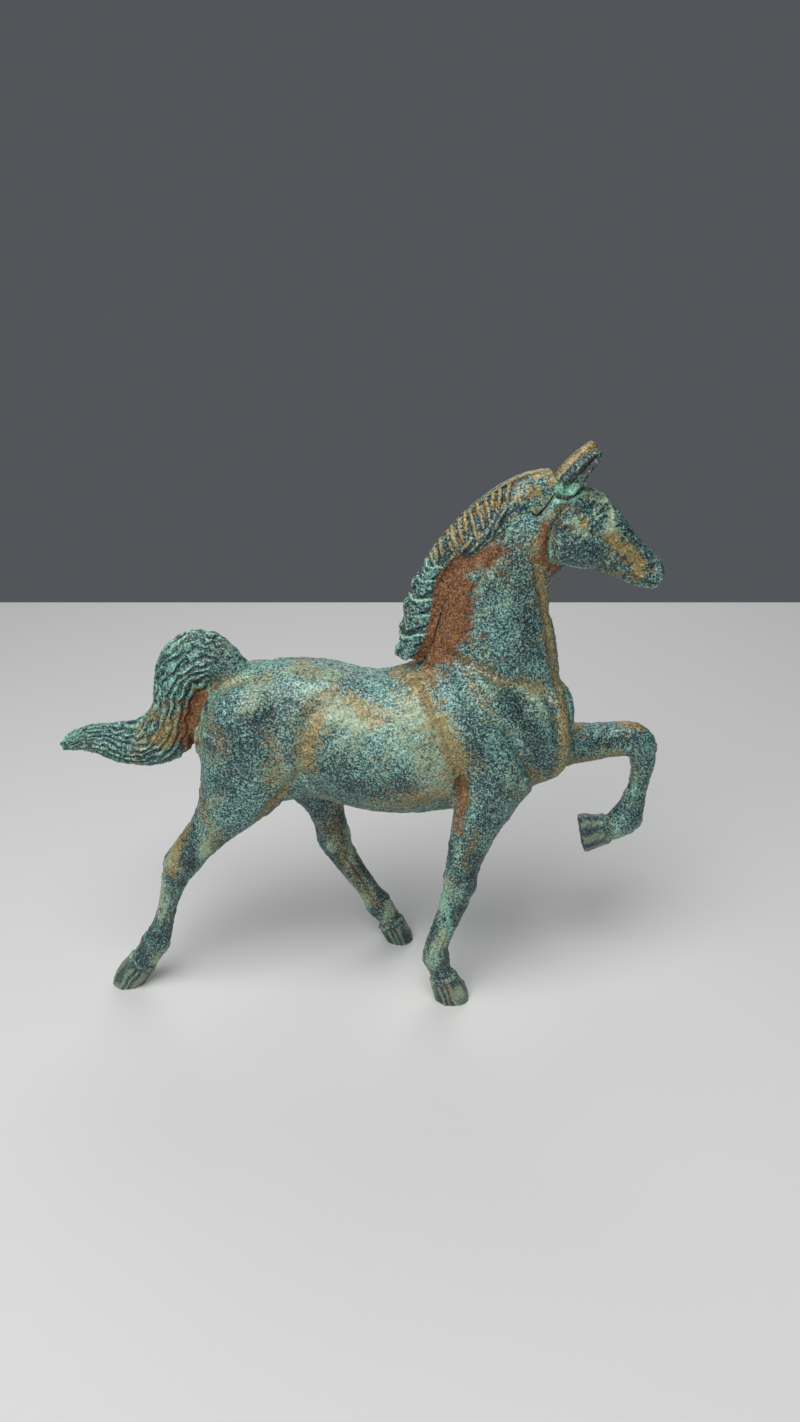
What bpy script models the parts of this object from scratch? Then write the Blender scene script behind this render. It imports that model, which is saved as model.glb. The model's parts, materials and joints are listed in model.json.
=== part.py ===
"""A small bronze horse at a high-stepping trot, built as sectional castings on locating dowels.

The horse faces +X, its right side is -Y and it stands on the ground plane z = 0 on three
hooves, with the left foreleg raised.  Lengths in the tables are millimetres.
"""
import math

import bmesh
import bpy
import numpy as np
from mathutils import Matrix, Vector

MM = 0.001                 # one millimetre in metres

# ---- driving dimensions -------------------------------------------------------------------
FIT_GAP = 0.3              # clearance between neighbouring castings
KERF = 0.3                 # thickness of the saw cut between two castings
VOXEL = 0.62               # grain of the fused body before it is sawn up
KEEP_FACES = 0.065         # share of faces left on the fused body after decimation
SOFTEN_STEPS = 5           # rounds of smoothing over the fused body's creases
MANE_VOXEL = 0.5           # the same three numbers for the mane
MANE_KEEP = 0.1
MANE_SOFTEN_STEPS = 2
RING_SIDES = 24            # corners of each section of a lofted form
EAR_SIDES = 12             # the same for an ear
SPAN_STEPS = 4             # sections drawn between two stations
EAR_STEPS = 2              # the same for an ear
LAP = 0.15                 # extra clearance for the seats of mane and ears
GROUND_TOOL = (140, 60, 4)  # length, width and depth of the block that levels the soles
GROUND_TOOL_X = -10        # the middle of that block along the horse
MASS_ROUNDS = 3            # subdivisions of a muscle's ellipsoid
SHARP_ANGLE = 40           # edges sharper than this many degrees stay crisp

# ---- stations: x, z, y, half depth in the plane of the profile, half width across ---------
TORSO = [
    (-38.4, 51.0, 0, 5.0, 5.0), (-36.6, 51.5, 0, 9.5, 8.4), (-33.0, 52.3, 0, 12.5, 10.6),
    (-28.0, 53.6, 0, 13.7, 11.6), (-22.0, 55.2, 0, 14.2, 11.4), (-16.0, 55.7, 0, 13.9, 11.5),
    (-10.0, 54.3, 0, 13.8, 12.0), (-4.0, 53.2, 0, 14.3, 12.5), (2.0, 53.5, 0, 14.9, 12.5),
    (8.0, 54.8, 0, 15.3, 12.0), (14.0, 55.7, 0, 14.8, 11.0), (20.0, 56.2, 0, 13.8, 10.0),
    (26.2, 56.9, 0, 11.8, 8.6), (30.4, 57.0, 0, 9.0, 6.8), (32.8, 56.8, 0, 5.0, 4.0),
]
NECK = [
    (17.3, 60.0, 0, 13.8, 8.4), (17.0, 68.5, 0, 12.8, 6.8), (16.8, 74.5, 0, 12.2, 5.6),
    (16.8, 80.5, 0, 10.8, 4.9), (18.2, 86.7, 0, 9.7, 4.5), (21.6, 92.0, 0, 8.5, 4.1),
    (26.0, 95.5, 0, 8.0, 3.8),
]
HEAD = [
    (25.8, 99.8, 0, 6.6, 3.4), (30.0, 97.0, 0, 7.4, 4.0), (35.0, 94.3, 0, 6.4, 3.9),
    (38.6, 92.0, 0, 4.9, 3.2), (41.8, 89.8, 0, 3.9, 2.7), (44.8, 88.0, 0, 3.4, 2.5),
    (46.8, 87.2, 0, 2.6, 2.2), (48.0, 87.0, 0, 1.2, 1.2),
]
RIGHT_EAR = [
    (28.6, 102.4, -2.4, 1.8, 1.5), (29.9, 104.8, -2.9, 1.9, 1.5), (31.8, 107.2, -3.3, 1.6, 1.2),
    (33.5, 109.2, -3.5, 1.0, 0.8), (34.2, 110.2, -3.5, 0.6, 0.4),
]
TAIL = [
    (-29.0, 64.0, 0, 2.9, 3.2), (-32.6, 68.4, 0, 3.5, 3.3), (-36.8, 70.0, 0, 5.7, 3.7),
    (-40.6, 67.6, 0, 5.8, 4.0), (-42.6, 63.1, 0, 4.6, 4.0), (-43.4, 58.9, 0, 4.5, 3.9),
    (-45.2, 54.6, 0, 5.5, 3.8), (-49.4, 52.2, 0, 4.9, 3.6), (-54.4, 51.9, 0, 4.2, 3.2),
    (-59.2, 52.6, 0, 3.0, 2.6), (-63.3, 52.3, 0, 2.1, 1.9), (-66.8, 50.7, 0, 0.9, 0.9),
]
RIGHT_FORELEG = [
    (19.4, 52.0, -7.2, 7.6, 4.9), (17.4, 46.5, -8.2, 6.3, 4.5), (15.5, 41.5, -9.0, 5.0, 4.0),
    (13.9, 36.5, -9.6, 4.1, 3.5), (12.6, 31.0, -10.0, 3.3, 3.1), (12.0, 26.5, -10.2, 3.2, 3.0),
    (10.8, 22.0, -10.2, 2.7, 2.6), (9.1, 17.0, -10.2, 2.4, 2.3), (7.8, 12.8, -10.2, 2.4, 2.2),
    (7.7, 9.7, -10.2, 2.7, 2.5), (8.6, 6.7, -10.2, 2.3, 2.3), (9.7, 3.8, -10.2, 3.1, 2.9),
    (10.8, 1.2, -10.2, 3.5, 3.2), (11.4, -1.4, -10.2, 3.6, 3.3),
]
LEFT_FORELEG = [
    (22.0, 50.5, 6.2, 6.5, 4.6), (29.0, 49.3, 6.7, 5.2, 4.3), (34.0, 49.8, 7.0, 4.5, 3.9),
    (38.8, 50.3, 7.0, 3.9, 3.4), (43.3, 51.0, 7.0, 3.6, 3.1), (46.8, 50.7, 7.0, 3.6, 3.0),
    (48.7, 47.4, 7.0, 2.8, 2.7), (48.7, 43.8, 7.0, 2.2, 2.2), (48.2, 40.0, 7.0, 2.1, 2.0),
    (47.4, 36.3, 7.0, 2.7, 2.2), (46.4, 32.8, 7.0, 3.3, 2.5), (44.1, 31.1, 7.0, 3.0, 2.5),
    (42.0, 30.3, 7.0, 3.3, 2.7), (39.6, 29.7, 7.0, 4.0, 3.1), (37.3, 29.2, 7.0, 4.5, 3.4),
]
RIGHT_HINDLEG = [
    (-28.5, 50.4, -7.0, 9.8, 5.2), (-31.2, 45.0, -7.5, 7.6, 4.8), (-34.2, 40.4, -7.7, 5.4, 4.2),
    (-37.2, 36.5, -7.7, 4.1, 3.6), (-40.5, 32.6, -7.6, 3.7, 3.1), (-43.2, 28.8, -7.6, 3.4, 2.9),
    (-44.9, 24.7, -7.5, 2.6, 2.5), (-46.3, 20.2, -7.5, 2.0, 2.1), (-47.8, 15.0, -7.5, 2.1, 2.1),
    (-49.7, 10.3, -7.5, 2.8, 2.5), (-51.7, 7.1, -7.5, 2.7, 2.4), (-53.7, 4.4, -7.5, 3.1, 2.8),
    (-55.8, 1.6, -7.5, 3.1, 3.0), (-57.3, -1.2, -7.5, 2.8, 2.9),
]
LEFT_HINDLEG = [
    (-27.0, 54.0, 6.8, 10.3, 5.2), (-23.5, 47.0, 7.6, 8.2, 4.9), (-19.8, 41.0, 8.3, 6.0, 4.3),
    (-16.6, 35.5, 8.9, 4.4, 3.7), (-15.1, 30.0, 9.4, 3.5, 3.2), (-14.1, 25.2, 9.6, 3.5, 3.0),
    (-12.1, 20.8, 9.7, 2.9, 2.6), (-9.3, 16.2, 9.8, 2.5, 2.3), (-6.8, 12.2, 9.8, 2.4, 2.2),
    (-4.9, 9.1, 9.8, 2.8, 2.5), (-3.0, 6.1, 9.8, 2.5, 2.4), (-1.7, 3.4, 9.8, 2.9, 2.8),
    (-0.5, 0.9, 9.8, 2.9, 2.9), (0.3, -1.6, 9.8, 2.8, 2.8),
]
MANE = [
    (3.4, 70.8, 0, 1.6, 2.2), (4.0, 73.5, 0, 3.0, 3.5), (4.8, 78.0, 0, 3.4, 3.9),
    (6.2, 83.0, 0, 3.5, 4.0), (8.8, 88.2, 0, 3.7, 4.1), (12.4, 93.1, 0, 3.9, 4.1),
    (16.3, 97.0, 0, 4.0, 4.1), (20.1, 100.1, 0, 3.8, 3.9), (24.0, 102.8, 0, 3.1, 3.4),
    (27.2, 104.8, 0, 1.6, 2.2),
]
# locks that flip back off the lower crest: root x, root z, tip x, tip z, root radius
LOCKS = [
    (5.0, 74.8, -0.6, 71.6, 2.2), (5.4, 78.6, 0.2, 76.2, 2.3), (6.2, 82.6, 0.9, 80.6, 2.3),
    (7.4, 86.6, 2.4, 84.8, 2.2), (9.6, 90.8, 4.8, 88.8, 2.1),
]
LOCK_OUT = 1.9             # how far a lock's root sits to either side of the crest
LOCK_TUCK = 0.6            # a lock's tip sits at this share of that distance
LOCK_TAPER = 0.35          # radius of a lock's tip as a share of its root's
LOCK_SIDES = 12

# ---- muscle masses: centre x, y (both sides), z, radii x, y, z, lean in degrees ------------
MASSES = {
    "haunch": ((-28.4, 6.4, 55.2), (9.5, 5.9, 12.0), 8),
    "shoulder": ((17.6, 6.2, 56.5), (8.2, 5.4, 14.0), -20),
    "breast": ((26.8, 4.0, 55.0), (6.0, 4.6, 8.4), 0),
    "cheek": ((32.0, 1.9, 93.4), (5.8, 2.5, 4.3), 25),
}

# ---- saw cuts: point x, y, z, normal in the XZ plane, half length, half width -------------
CUTS = {
    "neck": ((16.7, 0, 69.0), (0.11, 0.994), 19.0, 13.0),
    "head": ((26.2, 0, 96.2), (0.952, 0.307), 12.5, 7.0),
    "tail": ((-34.6, 0, 64.6), (-0.79, 0.61), 7.6, 8.0),
    "buttock": ((-38.95, 0, 52.4), (-1.0, 0.0), 6.4, 5.4),
    "right_foreleg": ((14.9, -9.4, 38.5), (0.20, 0.98), 7.0, 5.2),
    "left_foreleg": ((34.4, 7.2, 49.4), (0.985, 0.174), 6.4, 5.4),
    "right_hindleg": ((-36.0, -7.8, 37.3), (0.62, 0.78), 6.4, 5.4),
    "left_hindleg": ((-17.0, 8.9, 35.8), (-0.30, 0.95), 6.6, 5.6),
}
# dowels: radius, half length, place along the saw cut
DOWELS = {
    "neck": (1.6, 6.0, 0), "head": (1.2, 4.0, 0), "tail": (0.9, 3.0, 3.5),
    "right_foreleg": (1.1, 4.0, 0), "left_foreleg": (1.1, 4.0, 0),
    "right_hindleg": (1.1, 4.0, 0), "left_hindleg": (1.1, 4.0, 0),
}
DOWEL_SIDES = 20

# ---- where each casting is found once the body has been sawn up: x, y, z ------------------
CASTINGS = {
    "torso": (-2, 0, 55), "neck": (16, 0, 84), "head": (35, 0, 94), "tail": (-46, 0, 60),
    "right_foreleg": (11, -10, 20), "left_foreleg": (46, 7, 42),
    "right_hindleg": (-46, -7.5, 20), "left_hindleg": (-11, 9.5, 18),
}

# ---- patina colours: base colour, roughness, metallic --------------------------------------
FINISH = {
    "torso": ((0.20, 0.33, 0.31), 0.62, 0.35), "neck": ((0.17, 0.30, 0.31), 0.62, 0.35),
    "head": ((0.13, 0.25, 0.27), 0.58, 0.40), "left_ear": ((0.36, 0.31, 0.17), 0.66, 0.30),
    "right_ear": ((0.16, 0.36, 0.30), 0.64, 0.30), "mane": ((0.22, 0.42, 0.35), 0.66, 0.30),
    "tail": ((0.18, 0.36, 0.30), 0.64, 0.30), "right_foreleg": ((0.12, 0.21, 0.24), 0.60, 0.40),
    "left_foreleg": ((0.16, 0.25, 0.23), 0.60, 0.40), "right_hindleg": ((0.17, 0.27, 0.24), 0.60, 0.40),
    "left_hindleg": ((0.15, 0.23, 0.18), 0.62, 0.35), "dowel": ((0.55, 0.40, 0.20), 0.40, 0.90),
}


def clear_scene():
    """Start from an empty scene."""
    for thing in list(bpy.data.objects):
        bpy.data.objects.remove(thing, do_unlink=True)


def make_material(name, key):
    """One Principled material with the finish listed for this kind of piece."""
    colour, roughness, metallic = FINISH[key]
    material = bpy.data.materials.new(name)
    material.use_nodes = True
    shader = material.node_tree.nodes["Principled BSDF"]
    shader.inputs["Base Color"].default_value = (*colour, 1.0)
    shader.inputs["Roughness"].default_value = roughness
    shader.inputs["Metallic"].default_value = metallic
    return material


def new_object(name, bm):
    """Turn a bmesh into a linked object."""
    mesh = bpy.data.meshes.new(name)
    bm.to_mesh(mesh)
    bm.free()
    thing = bpy.data.objects.new(name, mesh)
    bpy.context.collection.objects.link(thing)
    return thing


def blend_rows(rows, steps):
    """Catmull-Rom rows of numbers through the stations."""
    table = np.array(rows, dtype=float)
    padded = np.vstack([2 * table[0] - table[1], table, 2 * table[-1] - table[-2]])
    out = []
    for i in range(len(table) - 1):
        a, b, c, d = padded[i:i + 4]
        for t in np.arange(steps) / steps:
            out.append(0.5 * (2 * b + (c - a) * t + (2 * a - 5 * b + 4 * c - d) * t ** 2
                              + (3 * b - a - 3 * c + d) * t ** 3))
    out.append(table[-1])
    return np.array(out)


def add_loft(bm, stations, sides=RING_SIDES, steps=SPAN_STEPS):
    """Bridge elliptical sections, each square to the path, into one closed form."""
    rows = blend_rows(stations, steps)
    path = [Vector((x, y, z)) for x, z, y in rows[:, :3]]
    rings = []
    for i, centre in enumerate(path):
        along = (path[min(i + 1, len(path) - 1)] - path[max(i - 1, 0)]).normalized()
        across = (Vector((0, 1, 0)) - along * along.y).normalized()
        deep = along.cross(across)
        half_depth, half_width = rows[i, 3:5]
        frame = Matrix((deep * half_depth, across * half_width, along)).transposed().to_4x4()
        frame.translation = centre
        ends = i in (0, len(path) - 1)
        made = bmesh.ops.create_circle(bm, cap_ends=ends, radius=1, segments=sides, matrix=frame)
        rings.append(made["verts"])
    for near, far in zip(rings, rings[1:]):
        for k in range(sides):
            n = (k + 1) % sides
            bm.faces.new((near[k], near[n], far[n], far[k]))


def add_mass(bm, centre, radii, lean):
    """A muscle as an ellipsoid on each side of the body."""
    for side in (-1, 1):
        turn = Matrix.Rotation(math.radians(lean), 4, "Y")
        place = Matrix.Translation((centre[0], side * centre[1], centre[2]))
        size = Matrix.Diagonal((*radii, 1))
        bmesh.ops.create_icosphere(bm, subdivisions=MASS_ROUNDS, radius=1, matrix=place @ turn @ size)


def add_lock(bm, root, tip, radius, side):
    """One tapering lock of the mane, from the crest back to its curled tip."""
    start = Vector((root[0], side * LOCK_OUT, root[1]))
    end = Vector((tip[0], side * LOCK_OUT * LOCK_TUCK, tip[1]))
    turn = (start - end).to_track_quat("Z", "Y").to_matrix().to_4x4()
    place = Matrix.Translation((start + end) / 2)
    bmesh.ops.create_cone(bm, cap_ends=True, segments=LOCK_SIDES, radius1=radius * LOCK_TAPER,
                          radius2=radius, depth=(start - end).length, matrix=place @ turn)


def apply_modifiers(thing):
    """Replace the object's mesh by the mesh that its modifiers give."""
    view = bpy.context.evaluated_depsgraph_get()
    view.update()
    mesh = bpy.data.meshes.new_from_object(thing.evaluated_get(view))
    thing.modifiers.clear()
    thing.data = mesh


def fuse(thing, voxel, smooth_steps, keep):
    """Fuse overlapping forms into one skin, soften its creases and thin its faces."""
    remesh = thing.modifiers.new("fuse", "REMESH")
    remesh.mode = "VOXEL"
    remesh.voxel_size = voxel
    soften = thing.modifiers.new("soften", "SMOOTH")
    soften.factor = 0.5
    soften.iterations = smooth_steps
    thin = thing.modifiers.new("thin", "DECIMATE")
    thin.ratio = keep
    apply_modifiers(thing)


def subtract(thing, cutter):
    """Cut one solid out of another."""
    cutter.hide_render = True
    cutter.display_type = "WIRE"
    cut = thing.modifiers.new("cut", "BOOLEAN")
    cut.operation = "DIFFERENCE"
    cut.solver = "EXACT"
    cut.object = cutter
    apply_modifiers(thing)
    bpy.data.objects.remove(cutter, do_unlink=True)


def cut_frame(name):
    """The frame of a saw cut: its normal is the local Z axis, Y stays across the horse."""
    centre, (nx, nz), _, _ = CUTS[name]
    normal = Vector((nx, 0, nz)).normalized()
    across = Vector((0, 1, 0))
    frame = Matrix((across.cross(normal), across, normal)).transposed().to_4x4()
    frame.translation = Vector(centre)
    return frame


def make_blade(name):
    """The thin plate that a saw cut takes away."""
    _, _, half_length, half_width = CUTS[name]
    bm = bmesh.new()
    size = Matrix.Diagonal((2 * half_length, 2 * half_width, KERF, 1))
    bmesh.ops.create_cube(bm, size=1, matrix=cut_frame(name) @ size)
    return new_object(name + "_blade", bm)


def make_dowel(name, label, clearance):
    """A round dowel through a saw cut, or with clearance the bore that takes it."""
    radius, half_length, along = DOWELS[name]
    bm = bmesh.new()
    place = cut_frame(name) @ Matrix.Translation((along, 0, 0))
    bmesh.ops.create_cone(bm, cap_ends=True, segments=DOWEL_SIDES, radius1=radius + clearance,
                          radius2=radius + clearance, depth=2 * (half_length + clearance),
                          matrix=place)
    return new_object(label, bm)


def make_ground_tool():
    """The block that levels the three soles on the ground plane."""
    bm = bmesh.new()
    place = Matrix.Translation((GROUND_TOOL_X, 0, -GROUND_TOOL[2] / 2))
    bmesh.ops.create_cube(bm, size=1, matrix=place @ Matrix.Diagonal((*GROUND_TOOL, 1)))
    return new_object("ground_tool", bm)


def islands(mesh):
    """Split a mesh into its separate closed bodies, largest first."""
    bm = bmesh.new()
    bm.from_mesh(mesh)
    bm.verts.ensure_lookup_table()
    group = [-1] * len(bm.verts)
    count = 0
    for start in bm.verts:
        if group[start.index] >= 0:
            continue
        stack = [start]
        group[start.index] = count
        while stack:
            for edge in stack.pop().link_edges:
                for vert in edge.verts:
                    if group[vert.index] < 0:
                        group[vert.index] = count
                        stack.append(vert)
        count += 1
    bodies = []
    for k in range(count):
        piece = bm.copy()
        piece.verts.ensure_lookup_table()
        rest = [v for v in piece.verts if group[v.index] != k]
        bmesh.ops.delete(piece, geom=rest, context="VERTS")
        bodies.append(piece)
    bm.free()
    return sorted(bodies, key=lambda b: -b.calc_volume())


def build_body():
    """Torso, neck, head, legs and tail fused into one skin."""
    bm = bmesh.new()
    for stations in (TORSO, NECK, HEAD, TAIL, RIGHT_FORELEG, LEFT_FORELEG, RIGHT_HINDLEG, LEFT_HINDLEG):
        add_loft(bm, stations)
    for centre, radii, lean in MASSES.values():
        add_mass(bm, centre, radii, lean)
    bmesh.ops.recalc_face_normals(bm, faces=bm.faces)
    return new_object("body", bm)


def build_mane():
    """The mane as a cap over the crest with locks that flip back."""
    bm = bmesh.new()
    add_loft(bm, MANE)
    for root_x, root_z, tip_x, tip_z, radius in LOCKS:
        for side in (-1, 1):
            add_lock(bm, (root_x, root_z), (tip_x, tip_z), radius, side)
    bmesh.ops.recalc_face_normals(bm, faces=bm.faces)
    mane = new_object("mane", bm)
    fuse(mane, MANE_VOXEL, MANE_SOFTEN_STEPS, MANE_KEEP)
    return mane


def build_ear(name, side):
    """One ear; the left one is the right one mirrored."""
    bm = bmesh.new()
    mirrored = [(x, z, -side * y, deep, wide) for x, z, y, deep, wide in RIGHT_EAR]
    add_loft(bm, mirrored, EAR_SIDES, EAR_STEPS)
    bmesh.ops.recalc_face_normals(bm, faces=bm.faces)
    return new_object(name, bm)


def seat(thing, body):
    """Trim a piece so that it clears the body it sits on, and keep its one main solid."""
    tool = body.copy()
    tool.data = body.data.copy()
    bpy.context.collection.objects.link(tool)
    grow = tool.modifiers.new("grow", "DISPLACE")
    grow.strength = FIT_GAP + LAP
    grow.mid_level = 0
    apply_modifiers(tool)
    subtract(thing, tool)
    bodies = islands(thing.data)
    bodies[0].to_mesh(thing.data)
    for piece in bodies:
        piece.free()


def finish(thing, key):
    """Triangulate, scale to metres, shade smooth and give the piece its material."""
    bm = bmesh.new()
    bm.from_mesh(thing.data)
    bmesh.ops.triangulate(bm, faces=bm.faces)
    bmesh.ops.scale(bm, vec=(MM, MM, MM), verts=bm.verts)
    bm.to_mesh(thing.data)
    bm.free()
    thing.data.shade_smooth()
    thing.data.set_sharp_from_angle(angle=math.radians(SHARP_ANGLE))
    thing.data.materials.clear()
    thing.data.materials.append(make_material(thing.name, key))


def centre_on_origin(things):
    """Put the middle of the whole horse's box over the origin."""
    points = np.vstack([[v.co[:] for v in thing.data.vertices] for thing in things])
    middle = (points.min(axis=0) + points.max(axis=0)) / 2
    shift = Matrix.Translation((-middle[0], -middle[1], 0))
    for thing in things:
        thing.data.transform(shift)


def main():
    clear_scene()
    body = build_body()
    fuse(body, VOXEL, SOFTEN_STEPS, KEEP_FACES)
    mane = build_mane()
    left_ear = build_ear("left_ear", 1)
    right_ear = build_ear("right_ear", -1)
    for thing in (mane, left_ear, right_ear):
        seat(thing, body)
    for ear in (left_ear, right_ear):
        seat(ear, mane)

    subtract(body, make_ground_tool())
    for name in CUTS:
        subtract(body, make_blade(name))
    for name in DOWELS:
        subtract(body, make_dowel(name, name + "_bore", FIT_GAP))

    pieces = [mane, left_ear, right_ear]
    keys = ["mane", "left_ear", "right_ear"]
    for bm in islands(body.data):
        bm.verts.ensure_lookup_table()
        middle = sum((v.co for v in bm.verts), Vector()) / len(bm.verts)
        name = min(CASTINGS, key=lambda n: (Vector(CASTINGS[n]) - middle).length)
        pieces.append(new_object(name, bm))
        keys.append(name)
    bpy.data.objects.remove(body, do_unlink=True)
    for name in DOWELS:
        pieces.append(make_dowel(name, name + "_dowel", 0))
        keys.append("dowel")
    for thing, key in zip(pieces, keys):
        finish(thing, key)
    centre_on_origin(pieces)


main()
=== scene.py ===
"""The looks of a small bronze horse with a verdigris patina, built around its packed castings.

Every table below is in millimetres in the sculptor's frame: X runs forward to the muzzle, the
right side is -Y, and Z is the height above the ground that the hooves stand on.
"""
import json
import math

import bmesh
import bpy
import numpy as np
from mathutils import Matrix, Vector
from mathutils.bvhtree import BVHTree

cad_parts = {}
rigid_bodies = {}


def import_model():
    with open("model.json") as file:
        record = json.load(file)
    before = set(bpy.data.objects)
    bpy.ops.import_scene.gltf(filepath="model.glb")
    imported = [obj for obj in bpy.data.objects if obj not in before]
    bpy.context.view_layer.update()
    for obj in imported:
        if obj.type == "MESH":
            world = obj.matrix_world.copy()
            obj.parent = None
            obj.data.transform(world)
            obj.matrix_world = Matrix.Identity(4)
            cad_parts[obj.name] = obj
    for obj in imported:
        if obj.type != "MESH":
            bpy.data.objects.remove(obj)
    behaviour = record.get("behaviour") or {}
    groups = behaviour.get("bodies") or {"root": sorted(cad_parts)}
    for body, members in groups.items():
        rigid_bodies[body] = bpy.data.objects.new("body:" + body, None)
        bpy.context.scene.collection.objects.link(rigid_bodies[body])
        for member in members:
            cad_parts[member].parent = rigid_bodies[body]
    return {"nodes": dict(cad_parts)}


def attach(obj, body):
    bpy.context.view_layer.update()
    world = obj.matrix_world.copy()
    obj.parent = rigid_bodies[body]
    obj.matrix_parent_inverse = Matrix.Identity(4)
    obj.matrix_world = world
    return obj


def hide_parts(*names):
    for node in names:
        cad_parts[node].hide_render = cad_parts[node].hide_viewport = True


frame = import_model()
for thing in list(bpy.data.objects):
    if thing.name in ("Cube", "Light", "Camera"):      # Blender's own starting scene
        bpy.data.objects.remove(thing, do_unlink=True)
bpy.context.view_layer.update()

MM = 0.001                       # one millimetre in metres
SHIFT = np.array((7.9, 0.4, 0))  # from the sculptor's frame to the CAD frame, mm
BOTH = (-1, 1)                   # right side, left side
RIGHT = (-1,)

# ---- grain of the meshes, mm ---------------------------------------------------------------
GROW = 0.2                       # closes the saw kerfs before the castings are fused
MANE_GROW = 0.3
EAR_GROW = 0.15
BODY_VOXEL = 0.24
MANE_CORE_VOXEL = 0.35
MANE_VOXEL = 0.17
EAR_VOXEL = 0.13
SEAM = 0.01                      # half of the hairline left between two castings
PATH_STEP = 0.35                 # spacing of the points along a sculpted stroke
FAR_OUT = 60                     # beside the horse, where a ray towards it starts
LIMB_REACH = 5.5                 # beside the middle of a leg, where a ray at that leg starts
SMALLEST_CASTING = 500           # in points; anything less is a crumb from the saw

# the dark and pale layers also hold painted shade and painted highlights, beside the patina's own tone
STAINS = ("rust", "ochre", "mint", "dark", "pale", "streak")

# ---- saw cuts: point, normal in XZ, half length, half width, and the dowel's radius, half
# ---- length and place along the cut (the buttock face has no dowel) ------------------------
CUTS = {
    "neck": ((16.7, 0, 69), (0.11, 0.994), 19, 13, (1.6, 6, 0)),
    "head": ((26.2, 0, 96.2), (0.952, 0.307), 12.5, 7, (1.2, 4, 0)),
    "tail": ((-34.6, 0, 64.6), (-0.79, 0.61), 8.4, 8, (0.9, 3, 3.5)),
    "buttock": ((-39.12, 0, 52.4), (-1, 0), 6.9, 8, None),
    "right_foreleg": ((14.9, -9.4, 38.5), (0.2, 0.98), 7, 5.2, (1.1, 4, 0)),
    "left_foreleg": ((34.4, 7.2, 49.4), (0.985, 0.174), 6.4, 5.4, (1.1, 4, 0)),
    "right_hindleg": ((-36, -7.8, 37.3), (0.62, 0.78), 6.4, 5.4, (1.1, 4, 0)),
    "left_hindleg": ((-17, 8.9, 35.8), (-0.3, 0.95), 6.6, 5.6, (1.1, 4, 0)),
}
PAIRS = {"tail": "buttock", "buttock": "tail"}   # plates that stop where they meet each other
BORE_GAP = 0.3                   # between a dowel and its bore
BORE_SIDES = 32
PLATE_TOLERANCE = 2e-4           # how far off its plate a cut edge may lie

# ---- a point inside each casting -----------------------------------------------------------
CASTINGS = {
    "torso": (-2, 0, 55), "neck": (16, 0, 84), "head": (35, 0, 94), "tail": (-46, 0, 60),
    "right_foreleg": (11, -10, 20), "left_foreleg": (46, 7, 42),
    "right_hindleg": (-46, -7.5, 20), "left_hindleg": (-11, 9.5, 18),
}

# ---- muscles: centre x, z, radii along and across, lean in degrees, height -----------------
MUSCLES = [
    ((20, 81), (5, 9.5), -6, 0.45),      # side of the neck
    ((8.6, 80), (2.6, 8.5), -8, -0.75),      # hollow between mane and neck
    ((17, 66), (5.5, 3.6), -35, 0.45),     # top of the shoulder blade
    ((14, 58.5), (3.4, 5.6), -20, 0.4),     # long head of the upper arm
    ((25, 59.5), (3.6, 7.5), -22, 0.55),     # point of the shoulder
    ((18.5, 49), (4, 5.5), -16, 0.35),     # upper arm above the elbow
    ((31.5, 57), (1.6, 7), -6, 0.3),      # breast
    ((3.5, 57), (6, 8), 0, 0.25),        # ribs
    ((-16.5, 55.5), (3, 6.5), 12, -0.55),    # flank
    ((-27.5, 62), (7.5, 3), 22, 0.5),     # top of the haunch
    ((-30.5, 52), (4.2, 6.5), 10, 0.45),     # thigh
    ((-22, 58), (3.2, 4.2), 30, 0.25),     # front of the thigh
    ((-34.5, 62.5), (2.6, 2.6), 0, 0.2),      # pin bone
    ((32.2, 92.8), (3.8, 2.5), 16, 0.5),      # cheek
    ((40.4, 90), (3, 1.5), 35, -0.25),     # hollow before the cheek
]

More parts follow.
